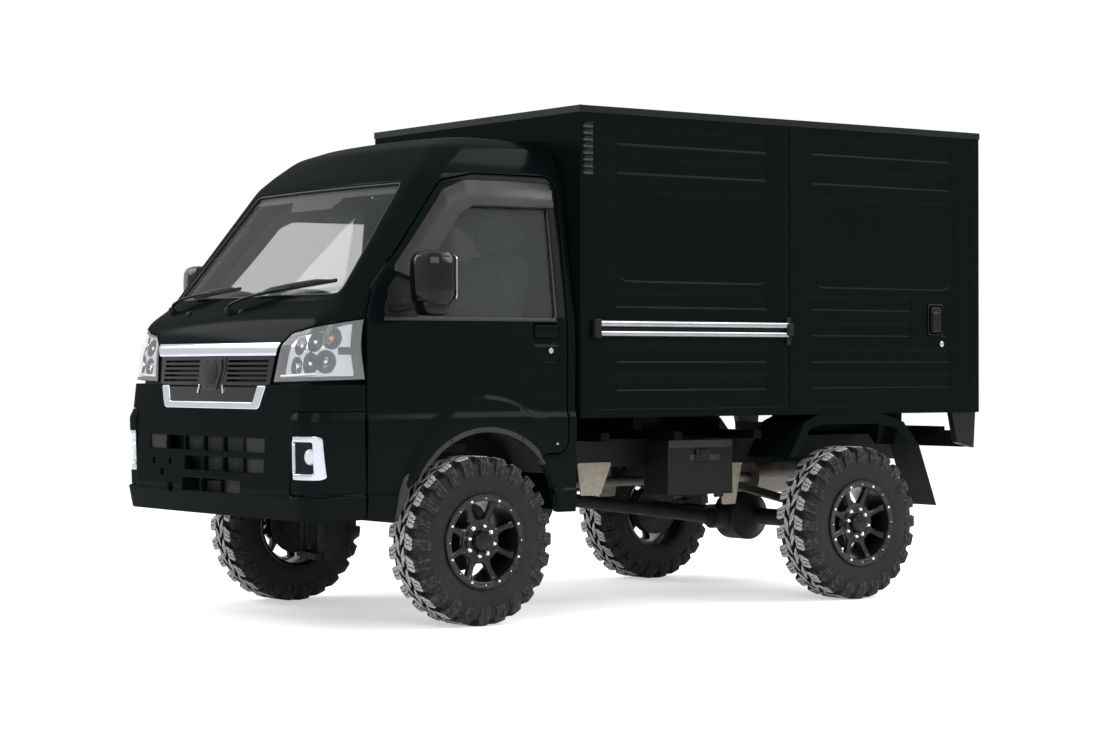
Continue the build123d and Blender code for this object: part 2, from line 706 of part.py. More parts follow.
def rear_door(side):
    gap = PANEL_GAP
    door = block(
        gap / 2 + 1,
        REAR_OPENING_HALF - gap,
        st(BOX_REAR) - BOX_WALL,
        st(BOX_REAR),
        REAR_OPENING_LOW + gap,
        REAR_OPENING_HIGH - gap,
    )
    for level in REAR_HINGE_LEVELS:
        base = level + REST_GAP
        top = level + REAR_HINGE_HEIGHT - REST_GAP
        eye = rod((REAR_HINGE_X, st(REAR_HINGE_Y), base), (REAR_HINGE_X, st(REAR_HINGE_Y), top), REAR_EYE_RADIUS)
        strap = block(REAR_HINGE_X - 90, REAR_HINGE_X, st(BOX_REAR) + REST_GAP, st(BOX_REAR) + 5, base, top)
        strap = strap + block(REAR_HINGE_X - 90, REAR_HINGE_X - 20, st(BOX_REAR) - 1, st(BOX_REAR) + 2, base, top)
        bore = rod((REAR_HINGE_X, st(REAR_HINGE_Y), base - 1), (REAR_HINGE_X, st(REAR_HINGE_Y), top + 1), 4.0)
        door = door + eye + strap - bore
    return side_scale(door, side)


# ---- cab doors ----
HINGE_X = 722.0
HINGE_Y = DOOR_FRONT + 6.0
HINGE_LEVELS = (518.0, 765.0)
HINGE_HEIGHT = 24.0
HINGE_LEAF = 10.0
HINGE_PIN_RADIUS = 4.0
HINGE_EYE_RADIUS = 8.0
HINGE_POCKET = 24.0
LIP_BAND = 40.0
LIP_THICK = 6.0
REAR_EDGE_SLANT = 12.0


def hinge_pocket(level):
    low = level - HINGE_LEAF - 6
    high = level + HINGE_HEIGHT + HINGE_LEAF + 6
    pocket = Pos(HINGE_X, st(HINGE_Y), low) * Cylinder(HINGE_POCKET, high - low, align=(Align.CENTER, Align.CENTER, Align.MIN))
    return pocket & block(0, HINGE_X + 9, st(HINGE_Y) - 60, st(HINGE_Y) + 60, low, high)


def hinge_fixed(level):
    # two leaves and the pin, carried by the door post
    post_x = HINGE_X - 22
    leaves = None
    for z in (level - HINGE_LEAF, level + HINGE_HEIGHT):
        disc = Pos(HINGE_X, st(HINGE_Y), z) * Cylinder(
            HINGE_EYE_RADIUS, HINGE_LEAF, align=(Align.CENTER, Align.CENTER, Align.MIN)
        )
        strap = plan_cut(
            (
                (HINGE_X - 2, st(HINGE_Y) - 7),
                (HINGE_X - 6, st(HINGE_Y) + 4),
                (post_x - 10, st(HINGE_Y) - 26),
                (post_x - 10, st(HINGE_Y) - 40),
            ),
            z,
            z + HINGE_LEAF,
        )
        leaf = disc + strap
        leaves = leaf if leaves is None else leaves + leaf
    pin = Pos(HINGE_X, st(HINGE_Y), level - HINGE_LEAF) * Cylinder(
        HINGE_PIN_RADIUS, HINGE_HEIGHT + 2 * HINGE_LEAF, align=(Align.CENTER, Align.CENTER, Align.MIN)
    )
    return leaves + pin


def hinge_moving(level):
    base = level + REST_GAP
    height = HINGE_HEIGHT - 2 * REST_GAP
    eye = Pos(HINGE_X, st(HINGE_Y), base) * Cylinder(
        HINGE_EYE_RADIUS, height, align=(Align.CENTER, Align.CENTER, Align.MIN)
    )
    arm = block(HINGE_X - 6, HINGE_X + 6, st(HINGE_Y), st(HINGE_Y) + HINGE_POCKET + 6, base, base + height)
    bore = Pos(HINGE_X, st(HINGE_Y), base - 1) * Cylinder(
        HINGE_PIN_RADIUS + REST_GAP, height + 2, align=(Align.CENTER, Align.CENTER, Align.MIN)
    )
    return eye + arm - bore


def door_skin_limit():
    # the door is no deeper than its own wall at the roof corner
    return front_cut(
        ((BODY_HALF_WIDTH - 62, 300), (760, 300), (760, 1800), (580, 1800), (665, 1150)), st(-520), st(440)
    )


FLARE_BAND = 118.0
FLARE_PROUD = 5.0
# handle recess and its flap: front, rear, low, high
HANDLE_RECESS = (262, 386, 1046, 1134)
HANDLE_FLAP = (268, 380, 1078, 1128)
HANDLE_DEPTH = 16.0


def door(wall, side):
    flare = cab_form(-FLARE_PROUD) - cab_form(1)
    flare = flare & arch_cutter(BODY_HALF_WIDTH - 60, BODY_HALF_WIDTH + 20, FLARE_BAND)
    flare = flare - arch_cutter(BODY_HALF_WIDTH - 90, BODY_HALF_WIDTH + 30, LIP_BAND + REST_GAP)
    recess = (cab_form(-1) - cab_form(HANDLE_DEPTH)) & side_field(HANDLE_RECESS, 560, 780, 18)
    flap = (cab_form(-FLARE_PROUD) - cab_form(HANDLE_DEPTH + 1)) & side_field(HANDLE_FLAP, 560, 780, 14)
    panel = (wall + flare) & door_prism(1, 0) & door_skin_limit()
    panel = panel - recess + flap
    panel = panel - arch_cutter(500, 800) - window_prism(1, 0)
    rear = DOOR_REAR
    wedge = plan_cut(
        ((760, st(rear) + 4), (760, st(rear)), (540, st(rear) - REAR_EDGE_SLANT * 3), (540, st(rear) + 4)), 300, 1800
    )
    panel = panel - wedge
    for level in HINGE_LEVELS:
        panel = panel - hinge_pocket(level)
        panel = panel + hinge_moving(level)
    return side_scale(panel, side)


def door_glass(side):
    pane = (cab_form(14) - cab_form(14 + GLASS_THICK)) & window_prism(1, -REST_GAP)
    return side_scale(pane, side)


VISOR_OUTER = ((-330, 1330), (-95, 1618), (-5, 1668), (372, 1668), (380, 1580))
VISOR_INNER = ((345, 1572), (20, 1572), (-30, 1545), (-250, 1290))


def door_visor():
    outline = placed(VISOR_OUTER + VISOR_INNER)
    prism = side_cut(outline, 560, 780)
    shade = (cab_form(-16) - cab_form(-13)) & prism
    edge = placed(VISOR_OUTER + ((372, 1574), (366, 1658), (0, 1658), (-88, 1610), (-322, 1322)))
    flange = (cab_form(-16) - cab_form(0)) & side_cut(edge, 560, 780)
    return shade + flange


MIRROR_HEAD = ((792, -352), (800, -238), (955, -232), (962, -300), (930, -350))
MIRROR_LOW = 1190.0
MIRROR_HIGH = 1392.0


def door_fittings(side):
    head = plan_cut([(x, st(y)) for x, y in MIRROR_HEAD], MIRROR_LOW, MIRROR_HIGH, 12)
    arm = rod((705, st(-420), 1185), (850, st(-300), 1215), 16)
    mirror_unit = head + (arm - cab_form(0))
    ring = arch_cutter(BODY_HALF_WIDTH - LIP_THICK, BODY_HALF_WIDTH, LIP_BAND) - arch_cutter(700, 760, 0)
    keep = block(700, 760, st(-420), st(415), DOOR_BOTTOM_REAR + 6, 900)
    keep = keep + block(700, 760, st(-420), st(0), 470, 900)
    return side_scale(mirror_unit, side) + side_scale(ring & keep, side)


# ---- running gear ----
WHEEL_BORE = 16.3
SPINDLE_RADIUS = WHEEL_BORE - REST_GAP
KNUCKLE_LOW = AXLE_Z - 102.0
KNUCKLE_HIGH = AXLE_Z + 115.0


def about_axle(profile, x, y):
    # profile is (offset along the axle from the wheel's centre, radius)
    plane = Plane((x, y, AXLE_Z), x_dir=(1, 0, 0), z_dir=(0, 1, 0))
    face = plane * make_face(Polyline(*profile, close=True))
    return revolve(face, Axis((x, y, AXLE_Z), (1, 0, 0)))


def axle_disc(x0, x1, y, radius):
    return Pos(x0, y, AXLE_Z) * Rot(0, 90, 0) * Cylinder(radius, x1 - x0, align=(Align.CENTER, Align.CENTER, Align.MIN))


def knuckle(side):
    y = FRONT_AXLE_Y
    column = Pos(KINGPIN_X, y, KNUCKLE_LOW) * Cylinder(
        20, KNUCKLE_HIGH - KNUCKLE_LOW, align=(Align.CENTER, Align.CENTER, Align.MIN)
    )
    carrier = axle_disc(KINGPIN_X, 625, y, 58)
    shield = axle_disc(600, 608, y, 118)
    caliper = block(604, 650, y - 40, y + 40, AXLE_Z + 62, AXLE_Z + 112)
    spindle = axle_disc(620, 700, y, SPINDLE_RADIUS)
    return side_scale(column + carrier + shield + caliper + spindle, side)


# rim barrel: offset from the wheel's centre, radius
RIM_PROFILE = (
    (-95, 172),
    (-95, RIM_LIP_RADIUS),
    (-86, RIM_LIP_RADIUS),
    (-84, RIM_RADIUS),
    (84, RIM_RADIUS),
    (86, RIM_LIP_RADIUS),
    (95, RIM_LIP_RADIUS),
    (95, 150),
    (84, 143),
    (-86, 143),
)
SPOKES = 8
SPOKE_IN = 28.0
SPOKE_OUT = 58.0


def rim():
    x = TRACK_HALF
    wheel = about_axle(RIM_PROFILE, x, 0)
    wheel = wheel + axle_disc(x - 4, x + 66, 0, 56)
    for spoke in range(SPOKES):
        bar = block(x + SPOKE_IN, x + SPOKE_OUT, -15, 15, AXLE_Z + 40, AXLE_Z + 144)
        wheel = wheel + bar.rotate(Axis((x, 0, AXLE_Z), (1, 0, 0)), spoke * 360 / SPOKES)
    wheel = wheel - axle_disc(x - 10, x + 21, 0, WHEEL_BORE)
    return wheel


# tyre sections across its width: offset from the wheel's centre, radius of the carcass there
TYRE_SECTIONS = ((-84, 182), (-100, 232), (-92, 284), (-80, 297), (80, 297), (92, 284), (100, 232), (84, 182))
LUGS = 20
LUG_INNER = 11.0
TREAD_INSIDE = 266.0
# tread half sections: offset from the wheel's centre, lug tip radius, groove radius
TREAD_SECTIONS = ((LUG_INNER, TYRE_RADIUS, 298.5), (79, TYRE_RADIUS, 298.5), (98, 299, 279))


def about_wheel(radii, x, phase=0.0):
    # a polygon across the axle at x, its corners at the given radii and evenly spread turns
    count = len(radii)
    turns = [2 * pi * (number + phase) / count for number in range(count)]
    points = [(x, radius * sin(turn), AXLE_Z + radius * cos(turn)) for radius, turn in zip(radii, turns)]
    return make_face(Polyline(*points, close=True))


def tread_half(phase):
    # one side of the tread: toothed sections joined by flat faces
    faces = []
    for x, tip, groove in TREAD_SECTIONS:
        faces.append(about_wheel([tip, tip, groove, groove] * LUGS, x, phase))
    ends = [about_wheel([TREAD_INSIDE] * (2 * LUGS), x) for x in (LUG_INNER - 1, TYRE_WIDTH / 2)]
    inside = loft(ends, ruled=True)
    return loft(faces, ruled=True) - inside


def tyre():
    carcass = loft([about_wheel([radius] * (2 * LUGS), x) for x, radius in TYRE_SECTIONS], ruled=True)
    outer = tread_half(0.0)
    inner = mirror(tread_half(2.0), about=Plane.YZ)
    body = carcass + outer + inner
    bore = axle_disc(TYRE_SECTIONS[0][0] - 1, TYRE_SECTIONS[-1][0] + 1, 0, RIM_RADIUS + REST_GAP)
    return Pos(TRACK_HALF, 0, 0) * (body - bore)


# ---- pieces under the box ----
TOOLBOX_FACE_X = 570.0
TOOLBOX_FRONT = 1040.0
TOOLBOX_REAR = 1370.0
TOOLBOX_LOW = 452.0
TOOLBOX_HIGH = 668.0
TOOLBOX_SHEET = 8.0
LID_HINGE_RADIUS = 7.0
LID_HINGE_X = TOOLBOX_FACE_X - TOOLBOX_SHEET - PANEL_GAP + 8.0
LID_HINGE_Z = TOOLBOX_LOW - 9.0


def toolbox():
    x0 = RAIL_OUTER_X
    face = TOOLBOX_FACE_X - TOOLBOX_SHEET - PANEL_GAP
    outer = block(x0, face, st(TOOLBOX_FRONT), st(TOOLBOX_REAR), TOOLBOX_LOW, TOOLBOX_HIGH)
    inner = block(
        x0 + TOOLBOX_SHEET,
        face + 5,
        st(TOOLBOX_FRONT) + TOOLBOX_SHEET,
        st(TOOLBOX_REAR) - TOOLBOX_SHEET,
        TOOLBOX_LOW + TOOLBOX_SHEET,
        TOOLBOX_HIGH - TOOLBOX_SHEET,
    )
    case = outer - inner
    for offset_y in (TOOLBOX_FRONT + 40, TOOLBOX_REAR - 70):
        ear = block(face - 3, face + 5, st(offset_y), st(offset_y) + 30, TOOLBOX_LOW - 16, TOOLBOX_LOW + 6)
        pin = rod(
            (face + 8, st(offset_y) - 18, TOOLBOX_LOW - 9), (face + 8, st(offset_y) + 30, TOOLBOX_LOW - 9), 3.7
        )
        case = case + ear + block(face - 3, face + 10, st(offset_y), st(offset_y) + 30, TOOLBOX_LOW - 14, TOOLBOX_LOW - 4)
        case = case + pin
    return case


def toolbox_lid():
    x0 = TOOLBOX_FACE_X - TOOLBOX_SHEET
    face = TOOLBOX_FACE_X - TOOLBOX_SHEET - PANEL_GAP
    lid = block(x0, TOOLBOX_FACE_X, st(TOOLBOX_FRONT) - 4, st(TOOLBOX_REAR) + 4, TOOLBOX_LOW - 2, TOOLBOX_HIGH + 4)
    for offset_y in (TOOLBOX_FRONT + 40, TOOLBOX_REAR - 70):
        low = TOOLBOX_LOW - 9
        eye = rod((face + 8, st(offset_y) - 16, low), (face + 8, st(offset_y) - 0.5, low), LID_HINGE_RADIUS)
        arm = block(face + 8, TOOLBOX_FACE_X, st(offset_y) - 16, st(offset_y) - 0.5, low - 3, TOOLBOX_LOW + 20)
        bore = rod((face + 8, st(offset_y) - 20, low), (face + 8, st(offset_y) + 4, low), 4.0)
        lid = lid + ((eye + arm) - block(face, x0 - 1, st(offset_y) - 20, st(offset_y), low + 8, 600)) - bore
    return lid


BRACKETS = (
    ((697, 583), (870, 583), (812, 452), (716, 452)),
    ((1432, 567), (1555, 567), (1520, 395), (1450, 395)),
)


def lift_brackets():
    plates = None
    for outline in BRACKETS:
        plate = both(side_cut(placed(outline), RAIL_OUTER_X, RAIL_OUTER_X + 6, 8))
        plates = plate if plates is None else plates + plate
    return plates


REAR_ARCH_TOP = BOX_FLOOR_Z - REST_GAP
REAR_ARCH_LINE = (
    (1538, 599),
    (1626, 741),
    (1700, REAR_ARCH_TOP),
    (2060, REAR_ARCH_TOP),
    (2180, 734),
    (2262, 640),
)
REAR_ARCH_INNER = ((2225, 640), (2150, 705), (2040, 728), (1716, 728), (1652, 712), (1585, 599))
ARCH_SHEET = 4.0


def rear_arches():
    outer = placed(REAR_ARCH_LINE)
    inner = [(y, z - ARCH_SHEET * 1.6) for y, z in reversed(outer)]
    guard = side_cut(outer + inner, 470, BODY_HALF_WIDTH - 3)
    fascia = placed(REAR_ARCH_LINE + REAR_ARCH_INNER)
    return both(guard + side_cut(fascia, BODY_HALF_WIDTH - 7, BODY_HALF_WIDTH - 3))


def mudflaps():
    top = REAR_ARCH_LINE[-1][0] + REST_GAP
    plane_points = placed(((top, 640), (top + 5, 640), (2372, 375), (2367, 375)))
    return both(side_cut(plane_points, 560, BODY_HALF_WIDTH - 3))


def rear_bumper():
    bar = block(-700, 700, st(RAIL_REAR), st(RAIL_REAR) + 30, 620, 690)
    post = side_cut(placed(((2470, 770), (2610, 770), (2600, 617), (2500, 640))), 700, 730)
    return bar + both(post)


def rear_lamps():
    return both(block(470, 680, st(RAIL_REAR) + 30, st(RAIL_REAR) + 52, 628, 682))


def engine():
    block_low = block(-190, 190, st(60), st(470), 350, 640)
    head = block(-150, 150, st(90), st(360), 640, 720)
    gearbox = Pos(0, st(470), 430) * Rot(-90, 0, 0) * Cylinder(120, 330, align=(Align.CENTER, Align.CENTER, Align.MIN))
    mount = block(-60, 60, st(560), st(600), 530, RAIL_BOTTOM_Z + 15)
    return block_low + head + gearbox + mount


def driveline():
    front = (0, st(830), 430)
    rear = (0, REAR_AXLE_Y - DIFF_NOSE - 30, AXLE_Z)
    yokes = rod((0, st(800) + REST_GAP, 430), front, 34) + rod(rear, (0, REAR_AXLE_Y - DIFF_NOSE - REST_GAP, AXLE_Z), 34)
    return yokes + rod(front, rear, 28) + Pos(*front) * Sphere(28) + Pos(*rear) * Sphere(28)


DIFF_PROFILE = ((-120, 0), (-120, 36), (-60, 104), (60, 104), (120, 36), (120, 0))
DIFF_NOSE = 170.0


def rear_axle():
    tube = axle_disc(-600, 600, REAR_AXLE_Y, 36)
    bulge = about_axle(DIFF_PROFILE, 0, REAR_AXLE_Y)
    nose = rod((0, REAR_AXLE_Y - DIFF_NOSE, AXLE_Z), (0, REAR_AXLE_Y, AXLE_Z), 52)
    drum = axle_disc(592, 640, REAR_AXLE_Y, 112)
    spindle = axle_disc(630, 700, REAR_AXLE_Y, SPINDLE_RADIUS)
    return tube + bulge + nose + both(drum + spindle)


SPRING_X = 375.0


def suspension():
    y = FRONT_AXLE_Y
    member = block(-RAIL_OUTER_X + 60, RAIL_OUTER_X - 60, y - 50, y + 50, 470, 540)
    hanger = block(RAIL_OUTER_X - 110, RAIL_OUTER_X - 60, y - 50, y + 50, 250, 480)
    arm = plan_cut(
        ((300, y - 90), (330, y + 90), (KINGPIN_X + 12, y + 24), (KINGPIN_X + 24, y), (KINGPIN_X + 12, y - 24)),
        KNUCKLE_LOW - REST_GAP - 26,
        KNUCKLE_LOW - REST_GAP,
    )
    link = block(300, 350, y - 50, y + 50, KNUCKLE_LOW - REST_GAP - 26, 260)
    strut = Pos(KINGPIN_X, y, KNUCKLE_HIGH + REST_GAP) * Cylinder(
        24, TOWER_LOW - KNUCKLE_HIGH, align=(Align.CENTER, Align.CENTER, Align.MIN)
    )
    tower = block(RAIL_OUTER_X, KINGPIN_X + 32, y - TOWER_HALF, y + TOWER_HALF, TOWER_LOW, TOWER_HIGH)
    front = both(member + hanger + arm + link) + both(strut + tower)
    spring = side_cut(
        placed(((1500, 470), (1900, 372), (2300, 470), (2300, 500), (1900, 402), (1500, 500))),
        SPRING_X - 30,
        SPRING_X + 30,
    )
    saddle = block(SPRING_X - 40, SPRING_X + 40, REAR_AXLE_Y - 50, REAR_AXLE_Y + 50, AXLE_Z + 36, 372)
    shackle = block(SPRING_X - 20, SPRING_X + 20, st(2280), st(2310), 480, RAIL_BOTTOM_Z)
    front_eye = block(SPRING_X - 20, SPRING_X + 20, st(1490), st(1520), 480, RAIL_BOTTOM_Z)
    return front + both(spring + saddle + shackle + front_eye)


def exhaust():
    can = Pos(-250, st(2160), 470) * Rot(-90, 0, 0) * Cylinder(75, 330, align=(Align.CENTER, Align.CENTER, Align.MIN))
    hanger = block(-262, -238, st(2190), st(2220), 530, RAIL_BOTTOM_Z + 15)
    tail = rod((-250, st(2480), 450), (-250, st(2600), 440), 22)
    pipe = rod((-250, st(1000), 470), (-250, st(2165), 470), 22)
    flange = block(-236, -190, st(280), st(330), 415, 465)
    down = rod((-214, st(305), 440), (-250, st(1010), 470), 22) - block(-190, 190, st(60), st(470), 350, 640)
    return can + hanger + tail + pipe + down + flange


def fuel_tank():
    tank = block(-570, -RAIL_OUTER_X, st(1032), st(1392), 420, 640)
    return fillet(tank.edges().filter_by(Axis.Y), 30)


# ---- write every sub-part ----
def main():
    os.makedirs("parts", exist_ok=True)
    wall = cab_wall()
    skin = cab_skin(wall)
    write("cab_shell", cab_shell(skin))
    write("cab_roof", cab_roof(skin))
    write("cab_floor", cab_floor())
    write("ladder_frame", ladder_frame())
    write("front_bumper", front_bumper())
    write("grille", grille())
    write("grille_frame", grille_frame())
    write("lamps_front", lamps_front())
    write("cab_glass", cab_glass())
    write("dashboard", dashboard())
    write("steering_wheel", steering_wheel())
    write("seats", seats())
    write("wipers", wipers())
    write("cargo_box", cargo_box())
    write("roof_rail", roof_rail())
    write("door_rails", door_rails())
    write("toolbox", toolbox())
    write("toolbox_lid", toolbox_lid())
    write("lift_brackets", lift_brackets())
    write("rear_arches", rear_arches())
    write("mudflaps", mudflaps())
    write("rear_bumper", rear_bumper())
    write("rear_lamps", rear_lamps())
    write("engine", engine())
    write("driveline", driveline())
    write("rear_axle", rear_axle())
    write("suspension", suspension())
    write("exhaust", exhaust())
    write("fuel_tank", fuel_tank())
    wheel = rim()
    tread = tyre()
    for name, side in SIDES.items():
        write(f"sliding_door_{name}", sliding_door(side))
        write(f"rear_door_{name}", rear_door(side))
        write(f"door_{name}", door(wall, side))
        write(f"door_glass_{name}", door_glass(side) + side_scale(door_visor(), side))
        write(f"door_fittings_{name}", door_fittings(side))
        write(f"knuckle_{name}", knuckle(side))
        for place, axle_y in (("front", FRONT_AXLE_Y), ("rear", REAR_AXLE_Y)):
            write(f"rim_{place}_{name}", Pos(0, axle_y, 0) * side_scale(wheel, side))
            write(f"tyre_{place}_{name}", Pos(0, axle_y, 0) * side_scale(tread, side))


main()
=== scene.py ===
import json
import math
import bpy
import numpy as np
from mathutils import Matrix, Vector
from mathutils.geometry import delaunay_2d_cdt

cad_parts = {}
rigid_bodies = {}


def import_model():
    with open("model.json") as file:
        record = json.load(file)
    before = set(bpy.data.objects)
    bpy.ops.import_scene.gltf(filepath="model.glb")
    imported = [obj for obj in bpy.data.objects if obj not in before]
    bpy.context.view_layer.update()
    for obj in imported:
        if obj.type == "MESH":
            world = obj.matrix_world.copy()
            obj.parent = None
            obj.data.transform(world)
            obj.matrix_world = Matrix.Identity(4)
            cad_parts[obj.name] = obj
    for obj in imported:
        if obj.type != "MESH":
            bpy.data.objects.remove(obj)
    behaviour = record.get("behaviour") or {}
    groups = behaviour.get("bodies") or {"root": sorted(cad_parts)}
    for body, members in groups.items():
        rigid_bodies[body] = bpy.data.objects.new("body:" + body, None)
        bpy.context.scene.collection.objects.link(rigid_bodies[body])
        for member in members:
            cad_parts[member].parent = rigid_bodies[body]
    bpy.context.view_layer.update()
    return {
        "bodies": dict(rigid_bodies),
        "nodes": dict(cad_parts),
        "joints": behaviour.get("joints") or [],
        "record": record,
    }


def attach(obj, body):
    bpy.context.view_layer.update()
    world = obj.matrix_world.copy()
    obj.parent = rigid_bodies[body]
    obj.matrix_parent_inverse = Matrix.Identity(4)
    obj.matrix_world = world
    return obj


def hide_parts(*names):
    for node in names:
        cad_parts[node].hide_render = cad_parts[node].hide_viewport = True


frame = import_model()
print("frame loaded:", len(frame["nodes"]), "nodes")

mm = 0.001
axleFrontY = -945.5  # mm, front axle; the other places are given as offsets behind it

camera = {
    "place": (8.7563, -6.4705, 0.9630),
    "aim": (-0.80772, 0.58956, 0.00021),
    "roll": -0.086,
    "lens": 85.35,
    "sensor": 36.0,
}


def makeCamera(s):
    # place, direction and roll as a rotation from the view axis, lens in mm
    data = bpy.data.cameras.new("viewCamera")
    data.lens = s["lens"]
    data.sensor_width = s["sensor"]
    data.clip_end = 100
    cam = bpy.data.objects.new("viewCamera", data)
    bpy.context.scene.collection.objects.link(cam)
    turn = Vector(s["aim"]).to_track_quat("-Z", "Y").to_matrix().to_4x4()
    cam.matrix_world = Matrix.Translation(s["place"]) @ turn @ Matrix.Rotation(math.radians(s["roll"]), 4, "Z")
    bpy.context.scene.camera = cam


makeCamera(camera)


def groupNew(name, inputs, outputs):
    # node group with (label, kind, value) inputs and (label, kind) outputs
    g = bpy.data.node_groups.new(name, "ShaderNodeTree")
    for label, kind, value in inputs:
        sock = g.interface.new_socket(label, in_out="INPUT", socket_type="NodeSocket" + kind)
        sock.default_value = value
    for label, kind in outputs:
        g.interface.new_socket(label, in_out="OUTPUT", socket_type="NodeSocket" + kind)
    return g, g.nodes.new("NodeGroupInput"), g.nodes.new("NodeGroupOutput")


def node(tree, kind, links=(), **values):
    # one shader node; links are (input, socket) pairs, values set its properties
    n = tree.nodes.new("ShaderNode" + kind)
    for key, value in values.items():
        setattr(n, key, value)
    for slot, source in links:
        if isinstance(source, (int, float, tuple)):
            n.inputs[slot].default_value = source
        else:
            tree.links.new(source, n.inputs[slot])
    return n


def fill(n, values):
    # a node's inputs set by their names
    for key, value in values.items():
        n.inputs[key].default_value = value


def makeGrain():
    # fine surface grain: two noises added, given out as a height and a mask
    g, i, o = groupNew(
        "surfaceGrain",
        (("Scale", "Float", 400.0), ("Coarse", "Float", 0.25)),
        (("Height", "Float"), ("Mask", "Float")),
    )
    at = node(g, "TexCoord").outputs["Object"]
    fine = node(g, "TexNoise", [("Vector", at), ("Scale", i.outputs["Scale"]), ("Detail", 4.0)])
    part = node(g, "Math", [(0, i.outputs["Scale"]), (1, 0.12)], operation="MULTIPLY")
    wide = node(g, "TexNoise", [("Vector", at), ("Scale", part.outputs[0]), ("Detail", 3.0)])
    blend = node(g, "Mix", [(0, i.outputs["Coarse"]), (2, fine.outputs["Fac"]), (3, wide.outputs["Fac"])],
                 data_type="FLOAT")
    g.links.new(blend.outputs[0], o.inputs["Height"])
    g.links.new(wide.outputs["Fac"], o.inputs["Mask"])
    return g


def makeDust():
    # road dust: thicker near the ground, broken up by noise
    g, i, o = groupNew(
        "roadDust",
        (("Color", "Color", (0.1, 0.1, 0.1, 1)), ("Roughness", "Float", 0.4), ("Amount", "Float", 0.3),
         ("Top", "Float", 0.75), ("Dust", "Color", (0.30, 0.28, 0.25, 1))),
        (("Color", "Color"), ("Roughness", "Float")),
    )
    at = node(g, "TexCoord").outputs["Object"]
    high = node(g, "SeparateXYZ", [(0, at)]).outputs["Z"]
    fall = node(g, "MapRange", [(0, high), (1, 0.0), (2, i.outputs["Top"]), (3, 1.0), (4, 0.0)])
    wide = node(g, "TexNoise", [("Vector", at), ("Scale", 6.0), ("Detail", 6.0)])
    fine = node(g, "TexNoise", [("Vector", at), ("Scale", 90.0), ("Detail", 5.0)])
    both = node(g, "Math", [(0, wide.outputs["Fac"]), (1, fine.outputs["Fac"])], operation="MULTIPLY")
    cut = node(g, "MapRange", [(0, both.outputs[0]), (1, 0.14), (2, 0.42), (3, 0.15), (4, 1.0)])
    low = node(g, "Math", [(0, fall.outputs[0]), (1, cut.outputs[0])], operation="MULTIPLY")
    mask = node(g, "Math", [(0, low.outputs[0]), (1, i.outputs["Amount"])], operation="MULTIPLY", use_clamp=True)
    tint = node(g, "Mix", [(0, mask.outputs[0]), (6, i.outputs["Color"]), (7, i.outputs["Dust"])], data_type="RGBA")
    dull = node(g, "Mix", [(0, mask.outputs[0]), (2, i.outputs["Roughness"]), (3, 0.9)], data_type="FLOAT")
    g.links.new(tint.outputs[2], o.inputs["Color"])
    g.links.new(dull.outputs[0], o.inputs["Roughness"])
    return g


def makeWear():
    # edge colour where the face turns sharply away from its neighbours: worn paint or rust on most finishes, and on the
    # tyre's blocks partly dust, partly a painted highlight
    g, i, o = groupNew(
        "edgeWear",
        (("Color", "Color", (0.1, 0.1, 0.1, 1)), ("Edge", "Color", (0.3, 0.3, 0.3, 1)), ("Amount", "Float", 0.3),
         ("Sharp", "Float", 0.56)),
        (("Color", "Color"), ("Mask", "Float")),
    )
    point = node(g, "NewGeometry").outputs["Pointiness"]
    at = node(g, "TexCoord").outputs["Object"]
    chip = node(g, "TexNoise", [("Vector", at), ("Scale", 55.0), ("Detail", 6.0)])
    edge = node(g, "MapRange", [(0, point), (1, 0.5), (2, i.outputs["Sharp"]), (3, 0.0), (4, 1.0)])
    broken = node(g, "MapRange", [(0, chip.outputs["Fac"]), (1, 0.42), (2, 0.6), (3, 0.0), (4, 1.0)])
    mask = node(g, "Math", [(0, edge.outputs[0]), (1, broken.outputs[0])], operation="MULTIPLY")
    some = node(g, "Math", [(0, mask.outputs[0]), (1, i.outputs["Amount"])], operation="MULTIPLY", use_clamp=True)
    tint = node(g, "Mix", [(0, some.outputs[0]), (6, i.outputs["Color"]), (7, i.outputs["Edge"])], data_type="RGBA")
    g.links.new(tint.outputs[2], o.inputs["Color"])
    g.links.new(some.outputs[0], o.inputs["Mask"])
    return g


grainGroup = makeGrain()
dustGroup = makeDust()
wearAndHighlightGroup = makeWear()
print("node groups made")


